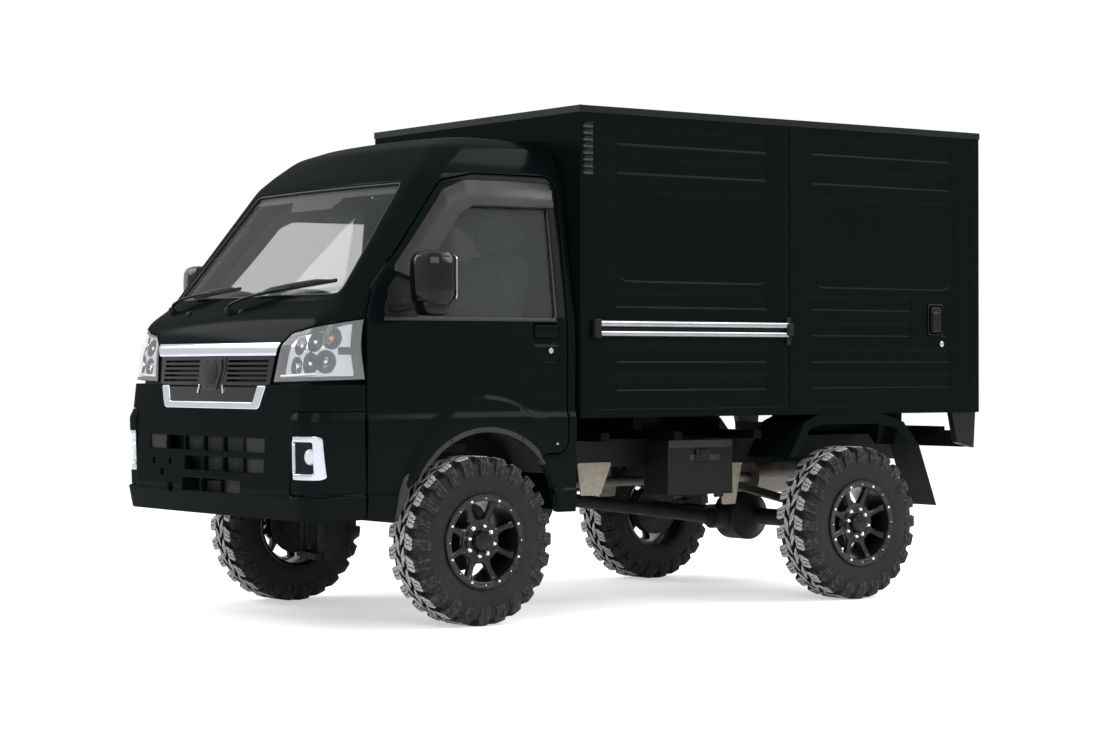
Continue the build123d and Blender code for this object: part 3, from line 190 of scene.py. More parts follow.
def surface(name, color, rough, metal=0.0, coat=0.0, coatRough=0.03, wearAndHighlight=0.0, edge=(0.3, 0.3, 0.3, 1),
            dust=0.0, dustTop=0.9, grain=400.0, bump=0.05, depth=0.0005, vary=0.1, spec=0.5, sheen=0.0):
    # one painted, plastic or metal finish: base, edge wear (on the tyre partly a painted highlight), dust, grain bump,
    # small roughness drift
    m = bpy.data.materials.new(name)
    m.use_nodes = True
    t = m.node_tree
    bsdf = t.nodes["Principled BSDF"]
    fine = node(t, "Group", [("Scale", grain)], node_tree=grainGroup)
    tone = node(t, "MapRange", [(0, fine.outputs["Mask"]), (1, 0.3), (2, 0.7), (3, 1 - vary), (4, 1 + vary)])
    shade = node(t, "Mix", [(0, 1.0), (6, (*color, 1)), (7, tone.outputs[0])], data_type="RGBA", blend_type="MULTIPLY")
    worn = node(t, "Group", [("Color", shade.outputs[2]), ("Edge", edge), ("Amount", wearAndHighlight)], node_tree=wearAndHighlightGroup)
    drift = node(t, "MapRange", [(0, fine.outputs["Mask"]), (1, 0.3), (2, 0.7), (3, rough * (1 - vary)),
                                 (4, rough * (1 + vary))])
    dusty = node(t, "Group", [("Color", worn.outputs["Color"]), ("Roughness", drift.outputs[0]), ("Amount", dust),
                              ("Top", dustTop)], node_tree=dustGroup)
    t.links.new(dusty.outputs["Color"], bsdf.inputs["Base Color"])
    t.links.new(dusty.outputs["Roughness"], bsdf.inputs["Roughness"])
    relief = node(t, "Bump", [("Height", fine.outputs["Height"]), ("Strength", bump), ("Distance", depth)])
    t.links.new(relief.outputs[0], bsdf.inputs["Normal"])
    fill(bsdf, {"Metallic": metal, "Coat Weight": coat, "Coat Roughness": coatRough, "Specular IOR Level": spec,
                "Sheen Weight": sheen})
    return m


def glassLike(name, color, alpha, rough=0.02, coat=1.0, spec=0.5):
    # thin glass or clear plastic: mostly see-through with a full mirror gloss and slight smears
    m = bpy.data.materials.new(name)
    m.use_nodes = True
    t = m.node_tree
    bsdf = t.nodes["Principled BSDF"]
    smear = node(t, "Group", [("Scale", 30.0)], node_tree=grainGroup)
    dull = node(t, "MapRange", [(0, smear.outputs["Mask"]), (1, 0.3), (2, 0.7), (3, rough), (4, rough * 2.5)])
    t.links.new(dull.outputs[0], bsdf.inputs["Roughness"])
    fill(bsdf, {"Base Color": (*color, 1), "Alpha": alpha, "IOR": 1.5, "Specular IOR Level": spec,
                "Coat Weight": coat, "Coat Roughness": 0.01})
    return m


finish = {
    "body": surface("bodyPaint", (0.0032, 0.0054, 0.0058), 0.40, coat=0.075, coatRough=0.14, dust=0.012, dustTop=0.8,
                    grain=1500.0, bump=0.001, depth=0.00005, vary=0.03, spec=0.0),
    "box": surface("boxPaint", (0.0032, 0.0052, 0.0056), 0.42, coat=0.065, coatRough=0.14, dust=0.008, dustTop=1.0,
                   grain=900.0, bump=0.003, depth=0.0001, vary=0.03, spec=0.0),
    "roofRail": surface("roofRailPaint", (0.007, 0.009, 0.0095), 0.42, spec=0.1, dust=0.03, dustTop=2.2),
    "frame": surface("framePaint", (0.005, 0.006, 0.0065), 0.48, spec=0.15, dust=0.08, dustTop=0.8, grain=220.0,
                     bump=0.2, depth=0.0006),
    "chrome": surface("chromeTrim", (0.54, 0.57, 0.62), 0.07, metal=1.0, dust=0.03, grain=60.0, bump=0.008,
                      depth=0.0002, vary=0.03),
    "plastic": surface("blackPlastic", (0.007, 0.007, 0.008), 0.50, dust=0.02, dustTop=1.0, grain=1400.0, bump=0.25,
                       depth=0.0004, spec=0.14),
    "lip": surface("archPlastic", (0.020, 0.021, 0.022), 0.50, spec=0.25, dust=0.05, dustTop=1.0, grain=1600.0,
                   bump=0.3, depth=0.0004, wearAndHighlight=0.1, edge=(0.09, 0.09, 0.09, 1)),
    "glossBlack": surface("glossBlack", (0.004, 0.004, 0.0045), 0.16, coat=0.14, spec=0.14, dust=0.02, grain=500.0,
                          bump=0.01),
    "rubber": surface("flapRubber", (0.008, 0.008, 0.008), 0.62, spec=0.2, dust=0.1, dustTop=0.7, grain=300.0, bump=0.3,
                      depth=0.0008),
    "seal": surface("sealRubber", (0.006, 0.006, 0.006), 0.55, grain=900.0, bump=0.1),
    "iron": surface("castIron", (0.012, 0.0118, 0.0115), 0.60, metal=0.3, spec=0.2, dust=0.13, dustTop=0.8, grain=160.0,
                    bump=0.45, depth=0.001, vary=0.22),
    "steel": surface("exhaustSteel", (0.13, 0.125, 0.12), 0.48, metal=0.8, wearAndHighlight=0.3, edge=(0.2, 0.11, 0.06, 1),
                     dust=0.45, dustTop=0.8, grain=90.0, bump=0.3, depth=0.0006, vary=0.3),
    "dash": surface("dashPlastic", (0.010, 0.010, 0.0115), 0.60, spec=0.25, grain=2400.0, bump=0.06, depth=0.0002,
                    vary=0.05),
    "rail": surface("railMetal", (0.30, 0.31, 0.32), 0.30, metal=0.95, wearAndHighlight=0.1, dust=0.06, dustTop=1.6, grain=120.0,
                    bump=0.04, vary=0.1),
    "case": surface("toolCase", (0.009, 0.0095, 0.010), 0.45, spec=0.12, dust=0.02, dustTop=0.85, grain=350.0,
                    bump=0.2, depth=0.0005),
    "bracket": surface("bracketPaint", (0.44, 0.40, 0.31), 0.55, wearAndHighlight=0.3, edge=(0.2, 0.13, 0.08, 1), dust=0.25,
                       dustTop=0.9, grain=200.0, bump=0.1),
    "alloy": surface("alloyBlack", (0.005, 0.005, 0.0055), 0.32, metal=0.2, spec=0.2, coat=0.3, coatRough=0.12,
                     wearAndHighlight=0.15, edge=(0.10, 0.10, 0.10, 1), dust=0.02, dustTop=0.62, grain=600.0, bump=0.04),
    "alloyRing": surface("alloyRing", (0.007, 0.0072, 0.0078), 0.40, metal=0.3, spec=0.2, coat=0.2, coatRough=0.2,
                         wearAndHighlight=0.15, edge=(0.2, 0.2, 0.2, 1), dust=0.03, dustTop=0.62, grain=500.0, bump=0.08),
    "bolt": surface("boltSilver", (0.78, 0.78, 0.79), 0.18, metal=1.0, dust=0.06, dustTop=0.7, grain=300.0, bump=0.02),
    # tyre: sharp block edges lightened by the edge mask, partly dust and partly a painted highlight
    "tyre": surface("tyreRubber", (0.010, 0.010, 0.0105), 0.66, spec=0.18, wearAndHighlight=0.5, edge=(0.085, 0.085, 0.083, 1),
                    dust=0.07, dustTop=0.9, grain=420.0, bump=0.35, depth=0.0006, vary=0.16),
    "tread": surface("treadFace", (0.50, 0.495, 0.48), 0.85, dust=0.15, dustTop=0.9, grain=700.0, bump=0.5,
                     depth=0.0005, vary=0.22),
    "lamp": glassLike("lampClear", (0.9, 0.93, 0.95), 0.10),
    "bowl": surface("lampBowl", (0.62, 0.63, 0.65), 0.08, metal=1.0, grain=80.0, bump=0.01, vary=0.03),
    "amber": surface("amberBulb", (0.75, 0.25, 0.03), 0.15, coat=1.0, grain=300.0, bump=0.01),
    "lampWhite": surface("bulbGlass", (0.75, 0.78, 0.80), 0.08, coat=1.0, grain=200.0, bump=0.01),
    "lampRed": surface("lampRed", (0.35, 0.012, 0.012), 0.12, coat=1.0, grain=200.0, bump=0.02),
    "smoke": glassLike("smokeVisor", (0.030, 0.027, 0.030), 0.84, 0.24, coat=0.0, spec=0.28),
    "window": glassLike("windowGlass", (0.045, 0.055, 0.052), 0.26),
    "screen": glassLike("windscreenGlass", (0.06, 0.08, 0.075), 0.14, coat=0.4),
    "trim": surface("cabTrim", (0.40, 0.41, 0.40), 0.75, grain=2400.0, bump=0.04, depth=0.0002, vary=0.06),
    "seat": surface("seatFabric", (0.034, 0.036, 0.037), 0.85, sheen=0.1, grain=2400.0, bump=0.1, depth=0.0003),
    "nickel": surface("keyNickel", (0.42, 0.42, 0.42), 0.25, metal=1.0, grain=200.0, bump=0.02),
}
nodeFinish = {
    "cab_shell": "body", "cab_roof": "body", "cab_floor": "frame", "ladder_frame": "frame", "front_bumper": "body",
    "grille": "glossBlack", "grille_frame": "chrome", "lamps_front": "lamp", "cab_glass": "window",
    "dashboard": "dash", "steering_wheel": "dash", "seats": "seat", "wipers": "plastic", "cargo_box": "box",
    "roof_rail": "roofRail", "door_rails": "rail", "toolbox": "case", "toolbox_lid": "case",
    "lift_brackets": "bracket", "rear_arches": "body", "mudflaps": "rubber", "rear_bumper": "frame",
    "rear_lamps": "lampRed", "engine": "iron", "driveline": "iron", "rear_axle": "iron", "suspension": "iron",
    "exhaust": "steel", "fuel_tank": "iron", "sliding_door": "box", "rear_door": "box", "door_glass": "window",
    "door_fittings": "plastic", "door": "body", "knuckle": "iron", "rim": "alloy", "tyre": "tyre",
}


def dressNodes():
    # every CAD node gets the finish of the longest name it starts with
    for name, obj in frame["nodes"].items():
        key = max((k for k in nodeFinish if name.startswith(k)), key=len)
        obj.data.materials.clear()
        obj.data.materials.append(finish[nodeFinish[key]])


dressNodes()
print("materials made:", len(finish))


def behind(points):
    # places given behind the front axle, as (x, y, z) or (y, z), in the truck's frame
    p = np.array(points, float)
    p[..., -2] += axleFrontY
    return p


def grid(nu, nv, wrapU=False, wrapV=False):
    # the four corners of each cell of nu rows by nv columns, the last joined to the first where wrapped
    a, b = np.meshgrid(np.arange(nu if wrapU else nu - 1), np.arange(nv if wrapV else nv - 1), indexing="ij")
    c, d = (a + 1) % nu, (b + 1) % nv
    return np.stack((a * nv + b, c * nv + b, c * nv + d, a * nv + d), -1).reshape(-1, 4)


def band(p, q, m):
    # quads between two closed loops of m points whose numbers start at p and at q
    k = np.arange(m)
    n = (k + 1) % m
    return np.stack((p + k, p + n, q + n, q + k), -1)


def sidesOf(tri):
    # every triangle side as a pair of point numbers, in the triangle's own direction
    return {tuple(e) for e in np.concatenate((tri[:, :2], tri[:, 1:], tri[:, ::2][:, ::-1])).tolist()}


def turnedOver(faces, over=True):
    # each face with its corners in the other order
    return [f[:, ::-1] for f in faces] if over else list(faces)


def join(shapes):
    # several (points, faces) shapes as one, each shape's numbers moved on by the points before it
    points, faces, start = [], [], 0
    for p, f in shapes:
        points.append(p)
        faces += [x + start for x in f]
        start += len(p)
    return np.concatenate(points), faces


def outward(points, faces):
    # volume by the divergence sum; the faces of a closed shape are turned over where it is negative
    total = 0.0
    for f in faces:
        for k in range(1, f.shape[1] - 1):
            total += np.einsum("ij,ij->", points[f[:, 0]], np.cross(points[f[:, k]], points[f[:, k + 1]]))
    return points, turnedOver(faces, total <= 0)


def tube(rings):
    # rings[i, j]: closed rings i along a path, each end closed by a fan to the ring's own middle
    n, m = rings.shape[:2]
    points = np.concatenate((rings.reshape(-1, 3), rings[:1].mean(1), rings[-1:].mean(1)))
    j = np.arange(m)
    k = (j + 1) % m
    first = np.stack((j, k, np.full(m, n * m)), -1)
    last = np.stack((k + (n - 1) * m, j + (n - 1) * m, np.full(m, n * m + 1)), -1)
    return outward(points, [grid(n, m, wrapV=True), first, last])


def turned(profile, count):
    # closed profile (x, r) turned round the x axis: x, r sin a, r cos a
    p = np.asarray(profile, float)
    a = np.arange(count) * 2 * np.pi / count
    r = np.maximum(p[:, 1], 0.02)  # a point on the axis keeps a hair's width
    x = np.broadcast_to(p[:, 0], (count, len(p)))
    points = np.stack((x, np.outer(np.sin(a), r), np.outer(np.cos(a), r)), -1)
    return outward(points.reshape(-1, 3), [grid(count, len(p), wrapU=True, wrapV=True)])


def turnAbout(points, angle):
    # points turned round the x axis by an angle
    c, s = np.cos(angle), np.sin(angle)
    return np.stack((points[:, 0], points[:, 1] * c + points[:, 2] * s, points[:, 2] * c - points[:, 1] * s), -1)


def rounded(corners, radius, step=3.0):
    # closed outline with its corners cut to arcs: each arc is a quadratic curve between its two feet
    c = np.asarray(corners, float)
    r = np.broadcast_to(np.asarray(radius, float), len(c))
    out = []
    for k in range(len(c)):
        a, b, d = c[k - 1] - c[k], c[(k + 1) % len(c)] - c[k], c[k]
        la, lb = np.hypot(*a), np.hypot(*b)
        half = np.arccos(np.clip(a @ b / (la * lb), -1, 1)) / 2
        foot = min(r[k] / np.tan(half), la * 0.49, lb * 0.49)
        if foot < 0.05:
            out.append(d[None])
            continue
        p, q = d + a / la * foot, d + b / lb * foot
        t = np.linspace(0, 1, max(3, int(foot * 2 / step)))[:, None]
        out.append(p * (1 - t) ** 2 + 2 * d * t * (1 - t) + q * t**2)
    return np.concatenate(out)


def divided(outline, step=9.0):
    # closed outline with its long sides divided evenly
    o = np.asarray(outline, float)
    out = []
    for a, b in zip(o, np.roll(o, -1, 0)):
        n = max(1, int(np.ceil(np.hypot(*(b - a)) / step)))
        out.append(a + (b - a) * np.arange(n)[:, None] / n)
    return np.concatenate(out)


def inset(outline, amount):
    # closed outline moved inwards along the mean normal of its two sides
    o = np.asarray(outline, float)
    e = np.roll(o, -1, 0) - o
    n = np.stack((-e[:, 1], e[:, 0]), -1) / np.maximum(np.hypot(e[:, 0], e[:, 1]), 1e-9)[:, None]
    m = n + np.roll(n, 1, 0)
    m /= np.maximum((m**2).sum(1), 0.4)[:, None] / 2
    area = (o[:, 0] * np.roll(o[:, 1], -1) - np.roll(o[:, 0], -1) * o[:, 1]).sum()
    return o + m * amount * (1 if area > 0 else -1)


def inside(points, loops):
    # even-odd rule: crossings of a ray to the right with every loop's sides
    odd = np.zeros(len(points), bool)
    x, y = points[:, 0], points[:, 1]
    for loop in loops:
        for a, b in zip(loop, np.roll(loop, -1, 0)):
            span = (a[1] > y) != (b[1] > y)
            if span.any():
                cross = (b[0] - a[0]) * (y - a[1]) / (b[1] - a[1] if b[1] != a[1] else 1e-9) + a[0]
                odd ^= span & (x < cross)
    return odd


def cells(outline, holes=(), spacing=None):
    # flat filling of an outline with holes: constrained triangles on the edge points and an inner grid
    loops = [np.asarray(outline, float)] + [np.asarray(h, float) for h in holes]
    points = np.concatenate(loops)
    edges, start = [], 0
    for loop in loops:
        k = np.arange(len(loop))
        edges.append(np.stack((k, (k + 1) % len(loop)), -1) + start)
        start += len(loop)
    if spacing:
        lo, hi = loops[0].min(0), loops[0].max(0)
        gx, gy = np.meshgrid(np.arange(lo[0] + spacing[0] / 2, hi[0], spacing[0]),
                             np.arange(lo[1] + spacing[1] / 2, hi[1], spacing[1]))
        g = np.stack((gx.ravel(), gy.ravel()), -1)
        keep = inside(g, loops)
        for loop in loops:
            for part in np.array_split(np.arange(len(g)), max(1, len(g) // 2000)):
                near = (((g[part, None] - loop[None]) / np.asarray(spacing)) ** 2).sum(-1).min(1) < 0.16
                keep[part] &= ~near
        points = np.concatenate((points, g[keep]))
    got = delaunay_2d_cdt([Vector(p) for p in points], np.concatenate(edges).tolist(), [], 0, 1e-5)
    flat = np.array([tuple(v) for v in got[0]])
    tri = np.array([f for f in got[2] if len(f) == 3])
    return flat, tri[inside(flat[tri].mean(1), loops)]


def plate(outline, low, high, edge=1.0, holes=()):
    # flat plate in two axes, from low to high in the third, with a chamfered rim at both faces and round each hole
    loops = [np.asarray(outline, float)] + [np.asarray(h, float) for h in holes]
    small = [inset(loops[0], edge)] + [inset(h, -edge) for h in loops[1:]]
    flat, tri = cells(small[0], small[1:])
    count, have = len(flat), sidesOf(tri)
    points = [np.c_[flat, np.full(count, high)], np.c_[flat, np.full(count, low)]]
    faces, start, at = [tri, tri[:, ::-1] + count], 2 * count, 0
    for loop in loops:
        m = len(loop)
        points += [np.c_[loop, np.full(m, high - edge)], np.c_[loop, np.full(m, low + edge)]]
        rims = band(at, start, m), band(start, start + m, m), band(start + m, count + at, m)
        faces += turnedOver(rims, (at, at + 1) in have)
        start += 2 * m
        at += m
    return outward(np.concatenate(points), faces)


sideAxes = ((0, 1, 0), (0, 0, 1), (1, 0, 0))  # outline drawn in y and z, thickness along x
frontAxes = ((1, 0, 0), (0, 0, 1), (0, 1, 0))  # outline drawn in x and z, thickness along y


def placed(shape, axes):
    # the shape's three coordinates laid along three directions
    return outward(shape[0] @ np.asarray(axes, float), shape[1])


def box2(x0, x1, z0, z1):
    # the four corners of an upright box in two axes
    return np.array(((x0, z0), (x1, z0), (x1, z1), (x0, z1)), float)


def sideBlock(y0, y1, z0, z1, x0, x1, radius, edge=2.0):
    # rounded plate facing sideways, from x0 out to x1
    return placed(plate(rounded(behind(box2(y0, y1, z0, z1)), radius), x0, x1, edge), sideAxes)


def backBlock(x0, x1, z0, z1, y0, y1, radius, edge=2.0):
    # rounded plate facing the rear, from y0 back to y1
    return placed(plate(rounded(box2(x0, x1, z0, z1), radius), y0, y1, edge), frontAxes)


def along(path, profile, up=(0, 0, 1)):
    # closed profile (across, up), or one for each point, carried along a path: across = direction x up
    p = np.asarray(path, float)
    q = np.asarray(profile, float)
    q = q if q.ndim == 3 else q[None]
    d = np.gradient(p, axis=0)
    d /= np.linalg.norm(d, axis=1)[:, None]
    side = np.cross(d, np.asarray(up, float))
    side /= np.linalg.norm(side, axis=1)[:, None]
    top = np.cross(side, d)
    return tube(p[:, None] + q[..., :1] * side[:, None] + q[..., 1:] * top[:, None])


def curve(points, count):
    # even points along a smooth line through the given ones: piecewise cubics with mean slopes
    p = np.asarray(points, float)
    m = np.gradient(p, axis=0)
    s = np.linspace(0, len(p) - 1, count)
    k = np.clip(s.astype(int), 0, len(p) - 2)
    t = (s - k)[:, None]
    h = 2 * t**3 - 3 * t**2 + 1, t**3 - 2 * t**2 + t, -2 * t**3 + 3 * t**2, t**3 - t**2
    return h[0] * p[k] + h[1] * m[k] + h[2] * p[k + 1] + h[3] * m[k + 1]


def softBox(centre, size, lean=0.0, power=0.35, count=40):
    # superellipsoid: each coordinate is the signed power of sine and cosine, leant back about x
    def signed(v):
        # a power that keeps its sign
        return np.sign(v) * np.abs(v) ** power

    a = np.linspace(-np.pi / 2, np.pi / 2, count // 2)
    b = np.arange(count) * 2 * np.pi / count
    x = signed(np.cos(a))[:, None] * signed(np.cos(b)) * size[0] / 2
    y = signed(np.cos(a))[:, None] * signed(np.sin(b)) * size[1] / 2
    z = np.broadcast_to((signed(np.sin(a)) * size[2] / 2)[:, None], x.shape)
    y, z = y * np.cos(lean) + z * np.sin(lean), z * np.cos(lean) - y * np.sin(lean)
    return tube(np.stack((x, y, z), -1) + behind(centre))


def disc(radius, count=12, squash=1.0):
    # a circle of points (across, up)
    a = np.arange(count) * 2 * np.pi / count
    return np.stack((radius * np.cos(a), radius * squash * np.sin(a)), -1)


def movedTo(shape, at):
    # the shape with its own zero moved to a place
    return shape[0] + at, shape[1]


def keyBarrel(radius, shoulder):
    # round lock barrel about the x axis, its plug set in a little
    return turned(((-2, 0.1), (-2, radius), (2.0, radius), (3.2, shoulder), (3.2, 7), (2.2, 6.5), (2.4, 0.1)), 24)


def mirrored(shape):
    # the same shape on the other side: x turned over, faces turned back
    return shape[0] * (-1, 1, 1), turnedOver(shape[1])


sides = (("left", lambda shape: shape), ("right", mirrored))  # shapes are made on the left side


def piece(name, shape, look, body, sharp=35.0, looks=(), index=None):
    # a mesh object from a shape in mm, smooth up to an angle, riding on a body
    points, faces = shape
    faces = [f for f in faces if len(f)]
    mesh = bpy.data.meshes.new(name)
    loops = np.concatenate([f.reshape(-1) for f in faces]).astype(np.int32)
    sizes = np.concatenate([np.full(len(f), f.shape[1]) for f in faces]).astype(np.int32)
    mesh.vertices.add(len(points))
    mesh.vertices.foreach_set("co", (points * mm).astype(np.float32).ravel())
    mesh.loops.add(len(loops))
    mesh.loops.foreach_set("vertex_index", loops)
    mesh.polygons.add(len(sizes))
    mesh.polygons.foreach_set("loop_start", np.concatenate(([0], np.cumsum(sizes)[:-1])).astype(np.int32))
    mesh.polygons.foreach_set("loop_total", sizes)
    if index is not None:
        mesh.polygons.foreach_set("material_index", np.asarray(index, np.int32))
    mesh.update(calc_edges=True)
    mesh.shade_smooth()
    mesh.set_sharp_from_angle(angle=math.radians(sharp))
    obj = bpy.data.objects.new(name, mesh)
    bpy.context.scene.collection.objects.link(obj)
    for key in (look, *looks):
        mesh.materials.append(finish[key])
    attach(obj, body)
    return obj


def bothSides(rows, body="truck"):
    # pieces on the left, then the same mirrored: (name, shape, look, sharp, replaced node, more); * is the side
    for name, turn in sides:
        for label, shape, look, sharp, node, *more in rows:
            obj = piece(label.replace("*", name), turn(shape), look, body.replace("*", name), sharp, *more)
            if node and (name == "left" or "*" in node):
                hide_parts(node.replace("*", name))


tyre = {
    "half": 680.0,  # middle of the tread, from the truck's middle
    "radius": 317.5,
    "axles": (("front", 0.0), ("rear", 1900.0)),
    "lugs": 24,
    "round": 96,
    "carcass": ((84, 170), (91, 178), (95.5, 198), (97, 222), (96, 246), (92.5, 268), (85, 287), (72, 297), (40, 299),
                (0, 299.5)),
    "liner": ((-78, 168), (-84, 215), (-60, 280), (60, 280), (84, 215), (78, 168)),
    "top": ((33, 317), (45, 317.4), (60, 317.4), (74, 316.6), (84, 312), (92, 301), (97, 287), (99.5, 270),
            (99.8, 256), (98.5, 244)),
    "foot": ((33, 296), (45, 296), (60, 295), (72, 294), (80, 288), (87, 279), (91, 268), (93, 258), (93.5, 250),
             (93, 243)),
    "middle": (3.5, 28.0, 317.4, 296.0),  # inner and outer offset, top and foot radius of a middle block
    "lean": (0.30, 0.42),  # of a middle block: slant and phase, in block pitches
    "worn": 315.4,  # block faces beyond this radius run on the ground
}


def tyreCarcass(s):
    # half section (offset, radius) mirrored to the inner side and closed by the bead and an inner wall, then turned
    outer = curve(s["carcass"], 22)
    return turned(np.concatenate((outer, (outer * (-1, 1))[::-1][1:], s["liner"])), s["round"])


def lug(s, tops, feet, left, right, zig, slant, bars):
    # block rows along the section; across each row the height rises at the edges and dips at the sipes
    cross = np.array([(0, 0), (0.02, 0.93), (0.07, 1)] +
                     [q for b in bars for q in ((b - 0.035, 1), (b - 0.015, 0.72), (b + 0.015, 0.72), (b + 0.035, 1))] +
                     [(0.93, 1), (0.98, 0.93), (1, 0)])
    v, h = cross[:, 0], cross[:, 1]
    middle = (v > 0.1) & (v < 0.9)
    place = left[:, None] + (right - left)[:, None] * v + np.where(middle, zig[:, None], 0)
    turn = (place + slant[:, None]) * 2 * np.pi / s["lugs"]
    at = feet[:, None] + (tops - feet)[:, None] * h[None, :, None]
    return tube(np.stack((at[..., 0], at[..., 1] * np.sin(turn), at[..., 1] * np.cos(turn)), -1))


def shoulderLug(s, rows):
    # one shoulder block from the tread over the shoulder and down the side wall, with a stepped edge
    tops, feet = curve(s["top"], 19)[:rows], curve(s["foot"], 19)[:rows]
    a = np.linspace(0, 1, rows)
    left = -0.33 + 0.07 * (a > 0.32) - 0.05 * (a > 0.72)
    right = 0.30 + 0.06 * (a < 0.22) - 0.04 * (a > 0.6)
    zig = 0.03 * np.where(np.arange(rows) % 4 < 2, 1, -1)
    slant = 0.16 * (1 - np.minimum(a / 0.4, 1)) - 0.08 * np.maximum(a - 0.5, 0)
    ends = np.r_[0, np.arange(rows), rows - 1]
    t, f = tops[ends], feet[ends]
    t[0] += (-1.2, -1.5)
    t[-1] += (-1.5, -1.0)
    return lug(s, t, f, left[ends], right[ends], zig[ends], slant[ends], (0.36, 0.66))


def centreLug(s, rows=7):
    # one middle block between two offsets from the tread's middle, leaning across the tread
    x0, x1, top, foot = s["middle"]
    lean, phase = s["lean"]
    x, a = np.linspace(x0, x1, rows), np.linspace(0, 1, rows)
    tops, feet = np.stack((x, np.full(rows, top)), -1), np.stack((x, np.full(rows, foot)), -1)
    ends = np.r_[0, np.arange(rows), rows - 1]
    t, f = tops[ends], feet[ends]
    t[0] += (0.8, -1.4)
    t[-1] += (-0.8, -1.4)
    left = np.where(a < 0.5, -0.36, -0.28)
    right = np.where(a < 0.5, 0.28, 0.36)
    zig = 0.05 * np.where(np.arange(rows) % 2 < 1, 1, -1)
    slant = phase + lean * (a - 0.5)
    return lug(s, t, f, left[ends], right[ends], zig[ends], slant[ends], (0.5,))


def makeTyre(s):
    # carcass and all blocks about the wheel's own middle, and a number for each face: 1 where it runs on the ground
    carcass = tyreCarcass(s)
    shapes, worn = [carcass], [np.zeros(len(carcass[1][0]), int)]
    blocks = shoulderLug(s, 19), shoulderLug(s, 17), centreLug(s)
    for side in (1, -1):
        for kind, (points, faces) in enumerate(blocks):
            middle = points[faces[0]].mean(1)
            top = (np.hypot(middle[:, 1], middle[:, 2]) > s["worn"]).astype(int)
            ends = [np.zeros(len(f), int) for f in faces[1:]]
            for turn in range(s["lugs"]) if kind == 2 else range(kind, s["lugs"], 2):
                angle = (turn + (0.5 if side < 0 else 0.0)) * 2 * np.pi / s["lugs"]
                block = turnAbout(points, angle), faces
                shapes.append(block if side > 0 else mirrored(block))
                worn += [top, *ends]
    return join(shapes), np.concatenate(worn)


rim = {
    "spokes": 8,
    "section": ((94, 160), (100, 166), (101, 172), (99, 177), (92, 177.5), (88, 171), (60, 166), (20, 152), (-40, 150),
                (-82, 165), (-92, 176), (-96, 172), (-90, 160), (-44, 143), (10, 144), (52, 149), (84, 151),
                (93, 152)),
    "ring": ((93, 150.5), (97.5, 152), (99.8, 156), (99.8, 171), (98, 173), (90, 172), (90, 151)),
    "edge": ((98.9, 174.2), (100.9, 174.6), (101.0, 176.4), (98.5, 176.9), (96, 175)),
    "face": ((60, 0.1), (66, 0.1), (66, 30), (67, 40), (63, 44), (61, 52), (61, 62), (65, 72), (66, 80), (60, 84),
             (48, 82), (44, 40), (44, 0.1)),
    "cap": ((66, 42), (78, 40), (86, 37), (90, 33), (91.5, 27), (91.5, 24), (89.5, 22), (90.5, 12), (91, 0.1),
            (60, 0.1), (60, 42)),
    "spoke": (  # radius, half width, face, depth
        (70, 29, 65, 30), (76, 23, 66.5, 30), (84, 17, 67, 30), (94, 13.5, 66.5, 28), (106, 12, 67, 26),
        (120, 12, 69, 25), (134, 12.5, 72, 26), (146, 14, 77, 30), (153.5, 16, 84, 36)),
    "crest": ((-1, 0.42), (-0.92, 0.86), (-0.5, 1.0), (-0.34, 0.93), (0.34, 0.93), (0.5, 1.0), (0.92, 0.86), (1, 0.42),
              (0.8, 0), (-0.8, 0)),  # a spoke's section: across in half widths, up in depths
    "boltCircle": (161.5, 8, 99.0),  # radius, count, plane
    "bolts": ((5.4, 5.0, 2.6, 1.0), (3.4, 4.0, 1.6, 0.0)),  # radius, height, socket, turn in half spokes
    "nutCircle": (57, 4, 60.0),
    "nuts": ((24, 0.5), (13, 2.5)),  # height, turn in half spokes
}


def spoke(s):
    # rows from hub to ring: flat crest with bevelled sides, wide at the hub and slightly wider at the ring
    r, half, face, deep = np.array(s["spoke"]).T[..., None]
    across, up = np.array(s["crest"]).T
    x = face - deep + deep * up
    return tube(np.stack((x, half * across, np.broadcast_to(r, x.shape)), -1))


def boltHead(radius, high, socket):
    # low dome with a socket sunk in its middle
    return turned(((0, 0.1), (0, radius), (high * 0.55, radius), (high, radius * 0.72), (high, socket),
                   (high * 0.3, socket * 0.85), (high * 0.3, 0.1)), 18)


def wheelNut(high):
    # six-sided nut with a domed end
    a = np.arange(6) * np.pi / 3
    x, r = np.array(((0, 9.5), (high * 0.55, 9.5), (high * 0.62, 8.2), (high * 0.86, 7.4), (high * 0.97, 5.0),
                     (high, 2.0))).T[..., None]
    return tube(np.stack((np.broadcast_to(x, (6, 6)), r * np.cos(a), r * np.sin(a)), -1))


def around(shape, radius, count, x, start):
    # the shape repeated on a circle about the wheel's axis
    turns = start + np.arange(count) * 2 * np.pi / count
    return [movedTo(shape, (x, radius * np.sin(a), radius * np.cos(a))) for a in turns]


